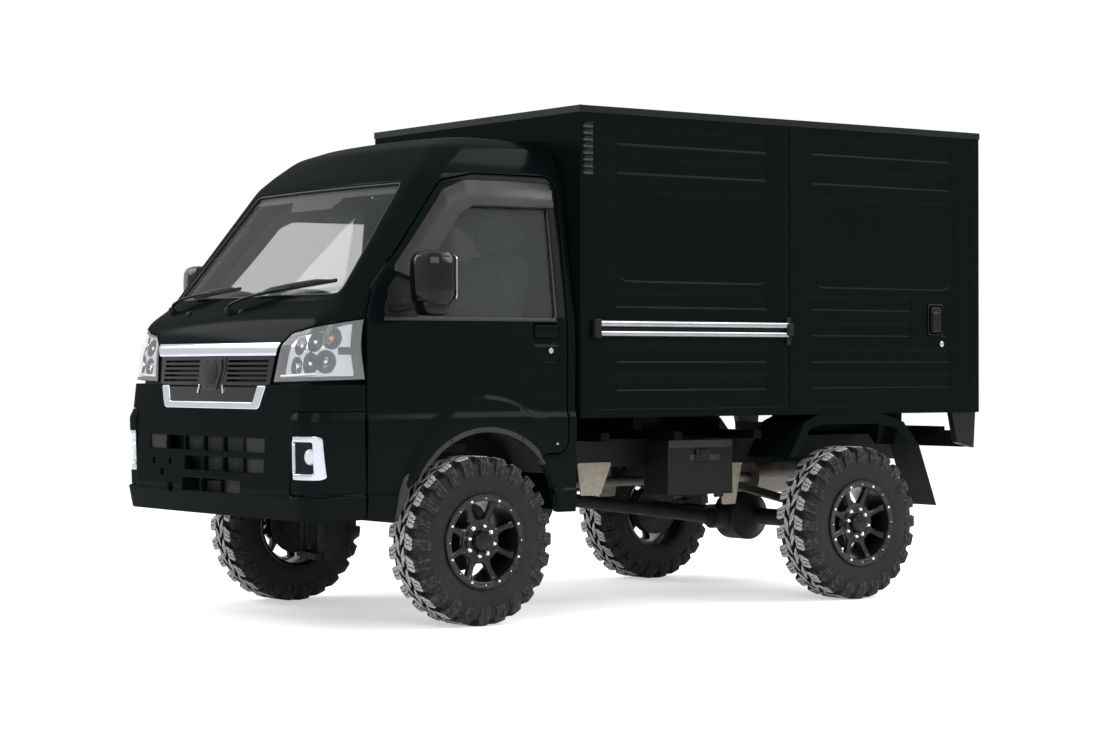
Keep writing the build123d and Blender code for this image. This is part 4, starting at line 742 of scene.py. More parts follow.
def makeWheels(s):
    # every wheel's pieces, made once about its middle and moved to its axle
    rubber, worn = makeTyre(tyre)
    half = np.pi / s["spokes"]
    points, faces = spoke(s)
    spokes = [(turnAbout(points, half + k * 2 * half), faces) for k in range(s["spokes"])]
    alloy = join([turned(s["section"], 72), turned(s["face"], 48)] + spokes)
    bolts = [q for *size, turn in s["bolts"] for q in around(boltHead(*size), *s["boltCircle"], half * turn)]
    nuts = [q for high, turn in s["nuts"] for q in around(wheelNut(high), *s["nutCircle"], half * turn)]
    rows = (
        ("tyre_{}_*_rubber", rubber, "tyre", 40, "tyre_{}_*", ("tread",), worn),
        ("rim_{}_*_alloy", alloy, "alloy", 40, "rim_{}_*"),
        ("rim_{}_*_ring", turned(s["ring"], 72), "alloyRing", 40, ""),
        ("rim_{}_*_bolts", join(bolts + nuts), "bolt", 30, ""),
        ("rim_{}_*_edge", turned(s["edge"], 72), "alloyRing", 30, ""),
        ("rim_{}_*_cap", turned(s["cap"], 36), "glossBlack", 30, ""),
    )
    for end, y in tyre["axles"]:
        at = behind((tyre["half"], y, tyre["radius"]))
        bothSides([(name.format(end), movedTo(shape, at), look, sharp, node.format(end), *more)
                   for name, shape, look, sharp, node, *more in rows], f"wheel_{end}_*")


makeWheels(rim)
print("wheels made")


cabRows = {
    "rows": (  # z, half width, nose, sweep of the front at its sides, corner radius, back, rounding along the height
        (411, 722, -737, 12, 95, 462, 0), (497, 731.5, -751.8, 14, 95, 462, 2), (504, 723.5, -743.5, 14, 95, 462, 3),
        (770, 731.5, -750, 16, 95, 462, 4), (803, 720.5, -738.5, 16, 95, 462, 7), (1040, 723, -714, 20, 95, 462, 40),
        (1140, 720, -680, 26, 100, 462, 30), (1205, 711, -608, 46, 105, 462, 22), (1690, 642, -222, 34, 85, 446, 24),
        (1745, 610, -165, 34, 90, 442, 14), (1810, 560, -95, 36, 110, 436, 30), (1850, 470, 10, 36, 120, 420, 30),
        (1868, 330, 150, 20, 100, 380, 30), (1874, 160, 240, 10, 60, 330, 0), (1875.5, 1, 285, 1, 0.5, 300, 0)),
    "front": 600.0,  # u over the front, over the corner and over the side
    "corner": 150.0,
    "side": 1000.0,
    "margin": 0.6,  # kept from both ends of t
    "rolled": (1.2, 3.2),  # a sheet's edge rolls over between these insets
}
footZ = 411.8  # lower edge of the cab's panels


def rowTable(s):
    # each column as a function of t, the length along the rows: straight runs joined by parabolas of half width w
    rows = np.array(s["rows"], float)
    knots = np.r_[0, np.cumsum(np.linalg.norm(np.diff(rows[:, :3], axis=0), axis=1))]
    t = np.linspace(0, knots[-1], 4000)
    slopes = np.diff(rows[:, :6], axis=0) / np.diff(knots)[:, None]
    out = rows[0, :6] + np.outer(t, slopes[0])
    for k in range(1, len(slopes)):
        d, w = t - knots[k], max(rows[k, 6], 0.01)
        ramp = np.where(d < -w, 0, np.where(d > w, d, (d + w) ** 2 / (4 * w)))
        out += np.outer(ramp, slopes[k] - slopes[k - 1])
    return t, out


rowT, rowF = rowTable(cabRows)


def levelAt(z):
    # t at a height
    return np.interp(z, rowF[:, 0], rowT)


def rowAt(t):
    # the columns at t, then the angle where the corner's arc begins and the half width of the front there
    z, half, nose, sweep, radius, back = (np.interp(t, rowT, rowF[:, k]) for k in range(6))
    low = np.arctan(2 * sweep / np.maximum(half - radius, 1))
    return z, half, nose, sweep, radius, back, low, half - radius * (1 - np.sin(low))


def cabPlace(u, t):
    # front: x = flat u/600, y = nose + sweep (u/600)^2; corner: arc of the row's radius; side: straight back
    s = cabRows
    z, _, nose, sweep, radius, back, low, flat = rowAt(t)
    a = np.abs(u)
    f = np.clip(a / s["front"], 0, 1)
    c = np.clip((a - s["front"]) / s["corner"], 0, 1)
    g = np.maximum(a - s["front"] - s["corner"], 0) / s["side"]
    turn = low + (np.pi / 2 - low) * c
    x = flat * f + radius * (np.sin(turn) - np.sin(low)) * (c > 0)
    y = nose + sweep * f**2 + radius * (np.cos(low) - np.cos(turn)) * (c > 0)
    y = y + g * (back - (nose + sweep + radius * np.cos(low)))
    return np.stack((np.sign(u) * x, y + axleFrontY, z), -1)


def cabNormal(u, t):
    # cross product of the two directions, each taken over a small step
    e = 0.5
    n = np.cross(cabPlace(u + e, t) - cabPlace(u - e, t), cabPlace(u, t + e) - cabPlace(u, t - e))
    return n / np.maximum(np.linalg.norm(n, axis=1), 1e-9)[:, None]


def cornerU(turn, low):
    # u on the corner's arc, from its own angle
    return cabRows["front"] + cabRows["corner"] * (turn - low) / (np.pi / 2 - low)


def fromSide(points):
    # (offset behind the front axle, z) on the left side as (u, t)
    s, p = cabRows, np.asarray(points, float)
    t = levelAt(p[:, 1])
    _, _, nose, sweep, radius, back, low, _ = rowAt(t)
    start = nose + sweep + radius * np.cos(low)
    turn = np.arccos(np.clip((start - p[:, 0]) / radius, 0, 1))
    straight = s["front"] + s["corner"] + s["side"] * (p[:, 0] - start) / (back - start)
    return np.stack((np.where(p[:, 0] > start, straight, cornerU(turn, low)), t), -1)


def fromFront(points):
    # (x, z) seen from the front as (u, t)
    p = np.asarray(points, float)
    t = levelAt(p[:, 1])
    *_, radius, _, low, flat = rowAt(t)
    a = np.abs(p[:, 0])
    turn = np.arcsin(np.clip(np.sin(low) + (a - flat) / radius, -1, 1))
    return np.stack((np.sign(p[:, 0]) * np.where(a < flat, cabRows["front"] * a / flat, cornerU(turn, low)), t), -1)


def onFront(points, radius):
    # outline with rounded corners, seen from the front, as (u, t)
    return fromFront(divided(rounded(points, radius)))


def onSide(points, radius):
    # outline with rounded corners in side view, as (u, t)
    return fromSide(divided(rounded(points, radius)))


def flip(outline):
    # an outline in (u, t) on the other side, run the other way
    return np.asarray(outline)[::-1] * (-1, 1)


def circle(x, z, r, count=24):
    # closed outline of a circle
    a = np.arange(count) * 2 * np.pi / count
    return np.stack((x + r * np.cos(a), z + r * np.sin(a)), -1)


def rise(value, low, high):
    # 0 below low, 1 above high, smooth between
    k = np.clip((value - low) / (high - low), 0, 1)
    return k * k * (3 - 2 * k)


def skin(outline, holes=(), depth=None, thick=30.0, spacing=(20.0, 16.0), roll=(1.6, 0.35), base=0.0):
    # closed sheet on the cab's surface: outer layer at depth(place), rolled over at its edges, inner layer at -thick
    s = cabRows

    def onRows(uv):
        # u and t, with t kept off the surface's ends
        return uv[:, 0], np.clip(uv[:, 1], s["margin"], rowT[-1] - s["margin"])

    loops = [divided(outline)] + [divided(h) for h in holes]
    rings = [[inset(loop, -step if k else step) for step in s["rolled"]] for k, loop in enumerate(loops)]
    flat, tri = cells(rings[0][1], [r[1] for r in rings[1:]], spacing)
    count, have = len(flat), sidesOf(tri)
    sets, drop, rims, edges = [flat], [np.zeros(count)], [], []
    at, start = 0, count
    for loop, ring in zip(loops, rings):
        m, over = len(loop), (at, at + 1) in have
        sets += [ring[0], loop]
        drop += [np.full(m, -roll[1]), np.full(m, -roll[0])]
        rims += turnedOver((band(at, start, m), band(start, start + m, m)), over)
        edges.append((start + m, at, m, over))
        at += m
        start += 2 * m
    u, t = onRows(np.concatenate(sets))
    p = cabPlace(u, t)
    d = base + np.concatenate(drop) + (depth(p) if depth else 0.0)
    outer = p + cabNormal(u, t) * d[:, None]
    # inner layer: the same flat filling and the outer loops again, at one depth
    u, t = onRows(np.concatenate([flat] + loops))
    under = cabPlace(u, t) + cabNormal(u, t) * (base - thick)
    shift, walls = len(outer), []
    for edge, at, m, over in edges:
        below = shift + count + at
        walls += turnedOver((band(edge, below, m), band(below, shift + at, m)), over)
    return outward(np.concatenate((outer, under)), [tri, *rims, tri[:, ::-1] + shift, *walls])


door = {
    "outline": ((-484, 411.6), (-484, 1150), (-447, 1271), (-306, 1429), (-118, 1664), (40, 1700), (395, 1700),
                (423, 1640), (423, 636), (300, 636), (300, 411.6)),
    "round": (2, 20, 60, 60, 70, 60, 40, 30, 95, 30, 2),
    "window": ((-395, 1150), (-370, 1250), (-85, 1600), (0, 1650), (360, 1650), (372, 1600), (372, 1150)),
    "windowRound": (22, 30, 60, 50, 30, 20, 22),
    "gap": 3.0,
    "arch": (43.0, 390.0),
    "archRadius": 332.0,
    "flare": ((0, 420), (30, 440), (55, 466), (90, 480), (120, 452), (147, 417), (170, 395), (180, 380)),
    "flareProud": 10.0,
    "recess": (262, 386, 1046, 1134),
    "recessDeep": 15.0,
    "crease": 1.4,
    "marks": (((-330, 554), (-312, 554), (-321, 564)), ((355, 671), (373, 671), (364, 681))),
    "markProud": 0.9,
}


def doorPath(grow):
    # the door's edge in side view, from its front foot up and over to the rear lower corner
    corners = ((-484, 300),) + door["outline"][1:-1] + ((300, 300),)
    path = inset(divided(rounded(corners, door["round"]), 9), -grow)
    path = path[np.argmax(path[:, 1] > 415):]
    return path[:np.argmax((path[:, 1] < 608) & (path[:, 0] > 200))]


def onArch(angles, grow=0.0):
    # places round the wheel opening in side view
    return np.stack((door["arch"][0] + (door["archRadius"] + grow) * np.cos(angles),
                     door["arch"][1] + (door["archRadius"] + grow) * np.sin(angles)), -1)


def archArc(first, last):
    # the wheel opening between two angles, every four degrees
    way = np.sign(last - first)
    return onArch(np.radians(np.arange(first, last + 0.1 * way, 4.0 * way)))


def doorPanel():
    # outline of the moving door in side view: its edge, the wheel opening, the lower front corner
    g = door["gap"]
    return np.concatenate((((-484 + g, footZ),), doorPath(-g), archArc(41, 137), ((-303, 525), (-350.6, footZ))))


def doorDepth(p):
    # flare: raised inside a line about the wheel; handle recess: a smooth pit; crease: a low step along the belt
    s, y, z = door, p[:, 1] - axleFrontY, p[:, 2]
    dy, dz = y - s["arch"][0], z - s["arch"][1]
    rho, angle = np.hypot(dy, dz), np.degrees(np.arctan2(dz, dy))
    line = np.array(s["flare"], float)
    edge = np.interp(angle, line[:, 0], line[:, 1])
    up = s["flareProud"] * (1 - rise(rho, edge - 34, edge + 4)) * rise(rho, 330, 372) * rise(z, 490, 540)
    y0, y1, z0, z1 = s["recess"]
    pit = rise(y, y0, y0 + 12) * rise(-y, -y1, -y1 + 12) * rise(z, z0, z0 + 20) * rise(-z, -z1, -z1 + 8)
    crease = s["crease"] * rise(z, 1096, 1118) * (1 - rise(z, 1120, 1150)) * (1 - rise(y, 180, 250))
    return up - s["recessDeep"] * pit + crease


def makeDoors(s):
    # the moving skin with its window opening, and two raised marks at its lower edge
    shape = skin(fromSide(divided(doorPanel(), 9)), (onSide(s["window"], s["windowRound"]),), doorDepth, 30.0,
                 (11.0, 9.0))
    marks = [skin(fromSide(q), (), lambda p: doorDepth(p) + s["markProud"], 2.0, (4.0, 4.0), (0.3, 0.2))
             for q in s["marks"]]
    bothSides((
        ("door_*_skin", shape, "body", 32, "door_*"),
        ("door_*_jack_marks", join(marks), "nickel", 32, ""),
    ), "cab_door_*")


shell = {
    "screen": ((-622, 1236), (622, 1236), (540, 1664), (-540, 1664)),
    "screenRound": 36,
    "lampEdge": ((462, 1030), (475, 1054), (530, 1096)),
    "belt": ((-487, 1147), 1152),  # the panel's corner above the lamp, and where the door's edge takes over
    "foot": (374.5, footZ),
    "crown": (1811, 24, 25),  # start height, rows, points across
    "crownThick": (0, 6, 22),
    "wall": (415, 1806, 30),  # low, high, points
    "wallInset": 4,
    "wallDepth": (446, 459),
    "wallWindow": ((-500, 1180), (500, 1180), (470, 1560), (-470, 1560)),
    "wallRound": 40,
}


def makeCabSkin(s):
    # the fixed panels: from the lamps over the roof to the back, with the door openings left out of the outline
    corner, belt = s["belt"]
    path = doorPath(door["gap"])
    side = fromSide(np.concatenate(((corner,), path[np.argmax(path[:, 1] > belt):], archArc(37, 5), (s["foot"],))))
    end, top = cabRows["front"] + cabRows["corner"] + cabRows["side"], rowT[-1] - cabRows["margin"]
    left = np.concatenate((fromFront(s["lampEdge"]), side, ((end, levelAt(footZ)), (end, top))))
    shape = skin(np.concatenate((left, flip(left))), (onFront(s["screen"], s["screenRound"]),), None, 30.0,
                 (22.0, 18.0))
    # crown: lines across from side to side behind the roof's last row
    low, rows, across = s["crown"]
    z, half, _, _, _, back, *_ = (column[:, None] for column in rowAt(np.linspace(levelAt(low), top, rows)))
    outer = behind(np.stack(np.broadcast_arrays(half * np.linspace(-1, 1, across), back, z), -1))
    crown = tube(np.concatenate((outer, (outer - s["crownThick"])[:, ::-1]), 1))
    obj = piece("cab_shell_panels", join((shape, crown)), "body", "truck", 32)
    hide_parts("cab_shell", "cab_roof")
    heights = np.linspace(*s["wall"])
    half = np.interp(heights, rowF[:, 0], rowF[:, 1]) - s["wallInset"]
    wall = np.concatenate((np.stack((half, heights), -1), np.stack((-half, heights), -1)[::-1]))
    depths = [y + axleFrontY for y in s["wallDepth"]]
    back = placed(plate(wall, *depths, 2.0, (rounded(s["wallWindow"], s["wallRound"]),)), frontAxes)
    piece("cab_back_wall", back, "body", "truck", 32)


bumper = {
    "edge": -487.0,  # offset of its ends, then the height of its upper edge
    "top": 904.0,
    "notch": (807.0, 503.5, 597.0, 628.0),  # high, low, inner x, start of its corners
    "block": (804.5, 505.5, 600.0, 690.0),
    "cup": ((371, 809), (408, 904)),
    "fog": ((600, 560), (724, 560), (724, 718), (600, 718)),
    "fogHole": ((611, 583), (703, 583), (703, 697), (611, 697)),
    "slots": ((6, 652, 706, -481, (0, 5)), (4, 576, 630, -177, (3,)), (3, 498, 546, -190, (2,))),
    "pitch": 152.0,  # of the slots above: count, low, high, start, closed ones
    "bridge": 11.0,
    "small": ((-440, 604), (-300, 604), (-365, 562)),
    "smallHalf": 13,
    "tow": (-290, 506, 22),
    "flush": ((411, -737), (495, -751.8), (803, -738.5), (1000, -719)),  # height, nose of the flush middle
}


def bumperDepth(p):
    # middle panel flush from the lower edge to the top, back to the rows' own surface at its sides
    z = p[:, 2]
    nose = np.interp(z, rowF[:, 0], rowF[:, 2])
    return (nose - np.interp(z, *zip(*bumper["flush"]))) * (1 - rise(np.abs(p[:, 0]), 588, 612))


def slotBox(s, row, k, grow=0.0):
    # one slot of a row, on the cab's surface
    _, z0, z1, x0, _ = row
    x = x0 + k * s["pitch"]
    return onFront(box2(x - grow, x + s["pitch"] - s["bridge"] + grow, z0 - grow, z1 + grow), 5)


def makeBumper(s):
    # middle with its slots, a block with the fog lamp's opening at each end, dark sheets in the closed slots
    edge, top = s["edge"], s["top"]
    high, low, x, start = s["notch"]
    step = rounded(((start, high), (x, high), (x, low), (start, low)), (0, 26, 4, 0))
    middle = fromFront(np.concatenate((s["cup"], ((480, top), (560, top), (640, top)))))
    notch = fromFront(np.concatenate((((690, high),), step, ((690, low),))))
    base = fromFront(((640, footZ), (500, footZ), (300, footZ), (0.01, footZ)))
    outer, inner = fromSide(((edge, top), (edge, high))), fromSide(((edge, low), (edge, footZ)))
    half = np.concatenate((middle, outer, notch, inner, base))
    holes = [slotBox(s, row, k) for row in s["slots"] for k in range(row[0])]
    r = s["smallHalf"]
    holes += [onFront(box2(x - r, x + r, z - r, z + r), 3) for x, z in s["small"]]
    holes.append(onFront(circle(*s["tow"]), 0))
    high, low, x, start = s["block"]
    block = np.concatenate((fromFront(rounded(((start, low), (x, low), (x, high), (start, high)), (0, 3, 24, 0))),
                            fromSide(((edge, high), (edge, low)))))
    side = skin(block, (onFront(s["fog"], 14),), None, 22.0, (12.0, 9.0))
    panel = skin(np.concatenate((half, flip(half)[1:])), holes, bumperDepth, 22.0, (13.0, 11.0))
    obj = piece("front_bumper_skin", join((panel, side, mirrored(side))), "body", "truck", 32)
    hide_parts("front_bumper")
    blanks = [skin(slotBox(s, row, k, 3.0), (), None, 14.0, (20.0, 20.0), base=-9.0)
              for row in s["slots"] for k in row[4]]
    piece("front_bumper_blanks", join(blanks), "plastic", "truck", 32)


makeCabSkin(shell)
print("cab skin made")
makeDoors(door)
makeBumper(bumper)
print("doors and bumper made")


lamp = {
    "frame": (((452, 912), (478, 1050), (530, 1092)), ((-489, 1142), (-489, 922)), (6, 14, 40, 4, 4)),
    "clear": (((482, 930), (500, 1058), (540, 1086)), ((-524, 1128), (-520, 932)), (10, 20, 30, 12, 12)),
    "bowls": (  # u, z, radius
        (550, 1050, 34), (630, 1066, 37), (706, 1076, 38), (542, 972, 33), (622, 982, 37), (702, 988, 38)),
    "amberBowl": 2,
    "deep": 36.8,
    "rim": (0.98, 1.22, 722),  # painted shade: gloss black between these bowl radii, inside this x
    "bulb": ((-44, 0.1), (-44, 9), (-26, 9.5), (-21, 8), (-17.5, 4.5), (-16.5, 0.1)),
    "strip": ((490, 936), (560, 938), (640, 941), (690, 944)),
    "stripDeep": 9.0,
    "slot": (-592, -536, 1012, 1040),
}


def lampLoop(front, side, radius):
    # closed outline given by its places seen from the front and from the side
    return rounded(np.concatenate((fromFront(front), fromSide(side))), radius)


def bowlReach(p):
    # distance from each point to the nearest bowl's middle, in that bowl's radius
    out = np.full(len(p), 9.0)
    for u, z, r in lamp["bowls"]:
        c = cabPlace(np.array((float(u),)), levelAt(np.array((float(z),))))[0]
        out = np.minimum(out, np.linalg.norm(np.abs(p) * (1, 0, 1) + p * (0, 1, 0) - c, axis=1) / r)
    return out


def bowlDepth(p):
    # paraboloids: deepest in the middle of each bowl
    q = bowlReach(p)
    return -lamp["deep"] * np.where(q < 1, 1 - q**2, 0)


def stoodOn(profile, count, at, across=None):
    # turned profile standing on the cab's panel at one (u, t), its axis along the normal
    c, d = cabPlace(*at.T)[0], cabNormal(*at.T)[0]
    if across is None:
        across = np.cross(d, (0, 0, 1.0))
        across /= np.linalg.norm(across)
    return movedTo(placed(turned(profile, count), np.stack((d, across, np.cross(d, across)))), c)


def makeLamps(s):
    # clear cover, black surround, tray with six bowls and bulbs, a painted shade ring of gloss black round each bowl's
    # rim, light strip and case
    frame, clear = lampLoop(*s["frame"]), lampLoop(*s["clear"])
    cover = skin(inset(frame, 1.0), (), None, 2.5, (16.0, 14.0))
    surround = skin(inset(frame, 2.0), (clear,), None, 9.0, (14.0, 12.0), base=-3.0)
    tray = skin(inset(clear, -4), (), bowlDepth, 58.0, (4.5, 4.5), (0.5, 0.2), base=-17.0)
    case = skin(inset(frame, 2.0), (inset(clear, 3.0),), None, 50.0, (16.0, 14.0), base=-13.0)
    path = fromFront(curve(s["strip"], 24)).T
    strip = along(cabPlace(*path) - cabNormal(*path) * s["stripDeep"], disc(5.0, 10))
    slot = skin(fromSide(rounded(box2(*s["slot"]), 4)), (), None, 6.0, (14.0, 14.0), base=-10.0)
    bulbs = [stoodOn(s["bulb"], 16, np.array(((float(u), float(levelAt(z))),))) for u, z, _ in s["bowls"]]
    amber = bulbs.pop(s["amberBowl"])
    middle = np.concatenate([tray[0][f].mean(1) for f in tray[1]])
    # tray faces near each bowl's rim take gloss black: painted shade at the rim
    near, far, wide = s["rim"]
    q = bowlReach(middle)
    bowlRimShade = ((q > near) & (q < far) & (np.abs(middle[:, 0]) < wide)).astype(int)
    bothSides((
        ("headlamp_*_cover", cover, "lamp", 32, "lamps_front"),
        ("headlamp_*_surround", surround, "glossBlack", 32, ""),
        ("headlamp_*_bowls", tray, "bowl", 40, "", ("glossBlack",), bowlRimShade),
        ("headlamp_*_slot", slot, "glossBlack", 40, ""),
        ("headlamp_*_case", case, "plastic", 32, ""),
        ("headlamp_*_strip", strip, "lampWhite", 40, ""),
        ("headlamp_*_bulbs", join(bulbs), "bowl", 40, ""),
        ("headlamp_*_amber", amber, "amber", 40, ""),
    ))


chrome = {
    "bar": ((-472, 1060), (-450, 1010), (450, 1010), (472, 1060)),
    "barCrest": (6.0, 1035, 27),  # height, middle z, half width
    "cup": ((-404, 899), (-366, 812), (366, 812), (404, 899), (346, 899), (322, 838), (-322, 838), (-346, 899)),
    "cupRound": (6, 26, 26, 6, 4, 18, 18, 4),
    "panel": ((-96, 1006), (-104, 962), (-64, 866), (64, 866), (104, 962), (96, 1006)),
    "panelInner": ((-72, 1000), (-80, 962), (-50, 884), (50, 884), (80, 962), (72, 1000)),
    "pad": (0, 948, 47),
    "padCrest": 3.0,
    "accent": ((84, 900), (92, 904), (104, 872), (95, 868)),
    "cone": (22, 660, 50, 640, 68),  # depth, middle x and half width, middle z and half height
    "lensPlace": (676, 644),
    "lens": ((-40, 0.1), (-40, 29), (-22, 29), (-17, 26), (-12, 18), (-9.5, 9), (-9, 0.1)),
    "nozzles": (-360, 75),
    "nozzleLevel": 1178,
    "nozzle": ((-3, 0.1), (-3, 14), (2, 14), (6, 11), (8, 6), (8.5, 0.1)),
}
sideways = np.array((1.0, 0, 0))  # keeps the facets of a turned fitting level


def barDepth(p):
    # rounded bar: highest along its middle
    high, z, half = chrome["barCrest"]
    return high * (1 - ((p[:, 2] - z) / half) ** 2) - 1.0


def cupDepth(p):
    # rises a little from the lower edge
    return 1.2 * rise(p[:, 2], 812, 850) + 1.0


def padDepth(p):
    # low dome
    x, z, r = chrome["pad"]
    return chrome["padCrest"] * (1 - (np.hypot(p[:, 0] - x, p[:, 2] - z) / r) ** 2)


def fogDepth(p):
    # bezel face slopes up to its middle line
    return 1.5 - 0.03 * np.abs(np.abs(p[:, 0]) - 708)


def coneDepth(p):
    # four-sided funnel, deepest in its middle
    deep, x, wide, z, tall = chrome["cone"]
    reach = np.maximum(np.abs(np.abs(p[:, 0]) - x) / wide, np.abs(p[:, 2] - z) / tall)
    return -deep * np.clip(1 - reach**2, 0, 1)


def makeGrille(s):
    # chrome bar and cup, six-sided panel with a plain round pad, small accents beside it
    bar = skin(onFront(s["bar"], 6), (), barDepth, 12.0, (12.0, 5.0))
    cup = skin(onFront(s["cup"], s["cupRound"]), (), cupDepth, 14.0, (9.0, 6.0), (2.5, 0.8))
    obj = piece("grille_frame_chrome", join((bar, cup)), "chrome", "truck", 40)
    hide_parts("grille_frame")
    panel = skin(onFront(s["panel"], 10), (), None, 14.0, (14.0, 10.0), base=-2.0)
    inner = skin(onFront(s["panelInner"], 10), (), None, 10.0, (14.0, 10.0), base=2.0)
    pad = skin(fromFront(circle(*s["pad"], 40)), (), padDepth, 8.0, (7.0, 7.0), base=4.0)
    piece("grille_centre_panel", join((panel, inner)), "glossBlack", "truck", 32)
    piece("grille_centre_pad", pad, "plastic", "truck", 32)
    accents = [skin(onFront(np.array(s["accent"], float) * (k, 1), 2), (), None, 4.0, (8.0, 8.0), base=3.0)
               for k in (1, -1)]
    piece("grille_accents", join(accents), "chrome", "truck", 40)


def makeFogLamps(s):
    # bezel round the opening, funnel behind it, round lens facing forwards
    bezels, cones, lenses = [], [], []
    lens = placed(turned(s["lens"], 28), ((0, -1, 0), (1, 0, 0), (0, 0, 1)))
    x, z = s["lensPlace"]
    for k in (1, -1):
        outer = onFront(np.array(bumper["fog"], float) * (k, 1), 14)
        hole = onFront(np.array(bumper["fogHole"], float) * (k, 1), 7)
        bezels.append(skin(inset(outer, -1.5), (hole,), fogDepth, 24.0, (7.0, 7.0), (3.0, 1.0), base=-2.0))
        cones.append(skin(inset(hole, -3), (), coneDepth, 44.0, (5.0, 5.0), base=-14.0))
        lenses.append(movedTo(lens, cabPlace(*fromFront(((k * x, z),)).T)[0]))
    piece("fog_lamp_bezels", join(bezels), "chrome", "truck", 40)
    piece("fog_lamp_cones", join(cones), "plastic", "truck", 32)
    piece("fog_lamp_lenses", join(lenses), "lampWhite", "truck", 40)


def makeNozzles(s):
    # washer nozzles below the windscreen
    nozzles = [stoodOn(s["nozzle"], 18, fromFront(((x, s["nozzleLevel"]),)), sideways) for x in s["nozzles"]]
    piece("washer_nozzles", join(nozzles), "plastic", "truck", 40)


makeLamps(lamp)
makeGrille(chrome)
makeFogLamps(chrome)
makeNozzles(chrome)
print("lamps and chrome made")


visor = {
    "outline": ((-352, 1318), (-345, 1345), (-105, 1632), (-5, 1672), (386, 1672), (392, 1580), (385, 1574), (20, 1572),
                (-40, 1545), (-262, 1288)),
    "round": (6, 20, 60, 40, 14, 4, 4, 60, 60, 8),
    "topLine": ((-352, 1345), (-105, 1632), (-5, 1672), (400, 1672)),
    "proud": 17.0,
    "tall": 96,
}


def visorDepth(p):
    # rises from its upper edge to its lower edge and turns in a little there
    upper = np.interp(p[:, 1] - axleFrontY, *zip(*visor["topLine"]))
    down = np.clip((upper - p[:, 2]) / visor["tall"], 0, 1)
    return 3.0 + visor["proud"] * np.sin(np.clip(down * 1.35, 0, 1) * np.pi / 2)


mirror = {
    "plan": ((796, -352), (800, -262), (822, -238), (938, -234), (958, -262), (958, -318), (930, -350), (860, -366)),
    "low": 1184.0,
    "high": 1390.0,
    "levels": (-1, -0.985, -0.94, -0.86, -0.7, -0.35, 0, 0.35, 0.7, 0.88, 0.95, 0.985, 1),
    "knuckle": ((872, -300, 1188), (120, 96, 70), 0.0, 0.5, 28),  # centre, size, lean, power, points
    "glass": (818, 940, 1212, 1372),
    "glassDepth": (-237, -233),
    "arm": ((716, -372, 1182), (742, -366, 1180), (790, -345, 1186), (830, -318, 1200)),
    "sail": ((-402, 1150), (-378, 1262), (-330, 1318), (-262, 1302), (-262, 1150)),
    "foot": ((-412, 1158), (-300, 1158), (-310, 1215), (-395, 1215)),
}


def mirrorHead(s):
    # plan outline stacked in height, drawn in towards both ends by a root curve
    plan = rounded(s["plan"], 20)
    middle = plan.mean(0)
    k = np.array(s["levels"])
    size = np.maximum((1 - np.abs(k) ** 6) ** 0.32, 0.12) * (1 - 0.05 * (1 - k) / 2)
    z = (s["low"] + s["high"]) / 2 + (s["high"] - s["low"]) / 2 * k
    ring = middle + (plan - middle)[None] * size[:, None, None]
    return tube(behind(np.concatenate((ring, np.broadcast_to(z[:, None, None], (*ring.shape[:2], 1))), -1)))


def mirrorRows(s):
    # arm on a sail and foot, head with a knuckle, glass facing the rear
    sail = skin(fromSide(divided(s["sail"])), (), None, 14.0, (20.0, 20.0), base=3.0)
    foot = skin(onSide(s["foot"], 16), (), None, 12.0, (16.0, 16.0), base=8.0)
    arm = along(curve(behind(s["arm"]), 14), disc(17, 14, 0.8))
    depths = [y + axleFrontY for y in s["glassDepth"]]
    pane = placed(plate(rounded(box2(*s["glass"]), 18), *depths, 0.8), frontAxes)
    return (
        ("door_*_mirror_arm", join((arm, sail, foot)), "plastic", 40, ""),
        ("door_*_mirror_head", join((mirrorHead(s), softBox(*s["knuckle"]))), "glossBlack", 50, ""),
        ("door_*_mirror_glass", pane, "chrome", 35, ""),
    )


lip = {
    "arc": (38, 137, 48),  # first and last angle, points
    "wide": 40,
    "line": ((-303, 525), (-327, 468), (-350, 412)),
    "outer": ((-330, 560), (-352, 500), (-366, 412.5)),
    "across": (0, 0.04, 0.5, 0.96, 1, 1, 0.5, 0),
    "proud": (-18, 5.6, 5.6, 5.6, 4, -6, -10, -18),
    "most": 737.3,
    "bolts": (62, 118),  # angles
    "bolt": ((0, 0.1), (0, 5), (1.5, 5), (3, 3), (3.2, 0.1)),
    "boltRise": 14,
    "boltX": 734.5,
}


def archLip(s):
    # flat band about the wheel opening, narrowing to its rear end
    a = np.radians(np.linspace(*s["arc"]))
    line = np.concatenate((onArch(a), s["line"]))
    outer = np.concatenate((onArch(a, s["wide"]), s["outer"]))
    outer = line + (outer - line) * np.clip(np.linspace(0, 6, len(line)), 0.25, 1)[:, None]
    flat = line[:, None] + (outer - line)[:, None] * np.array(s["across"])[None, :, None]
    uv = fromSide(flat.reshape(-1, 2))
    base = cabPlace(uv[:, 0], np.clip(uv[:, 1], cabRows["margin"], None))
    band = base + (1, 0, 0) * np.tile(s["proud"], len(line))[:, None]
    points, faces = tube(band.reshape(len(line), -1, 3))
    points[:, 0] = np.minimum(points[:, 0], s["most"])
    return points, faces


fittings = {
    "rearStrip": ((378, 1155), (378, 1575), (386, 1648), (410, 1648), (414, 1155)),
    "belt": ((-408, 1138), (-404, 1152), (372, 1152), (372, 1140)),
    "flap": ((270, 1078), (378, 1078), (378, 1126), (270, 1126)),
    "flapRound": (16, 16, 8, 8),
    "pull": ((724.5, 296, 984), (724.5, 350, 982), (724.5, 380, 986), (724.5, 390, 1002)),
    "key": (344, 1029, 11, 9.5),  # offset, z, radius, shoulder
}


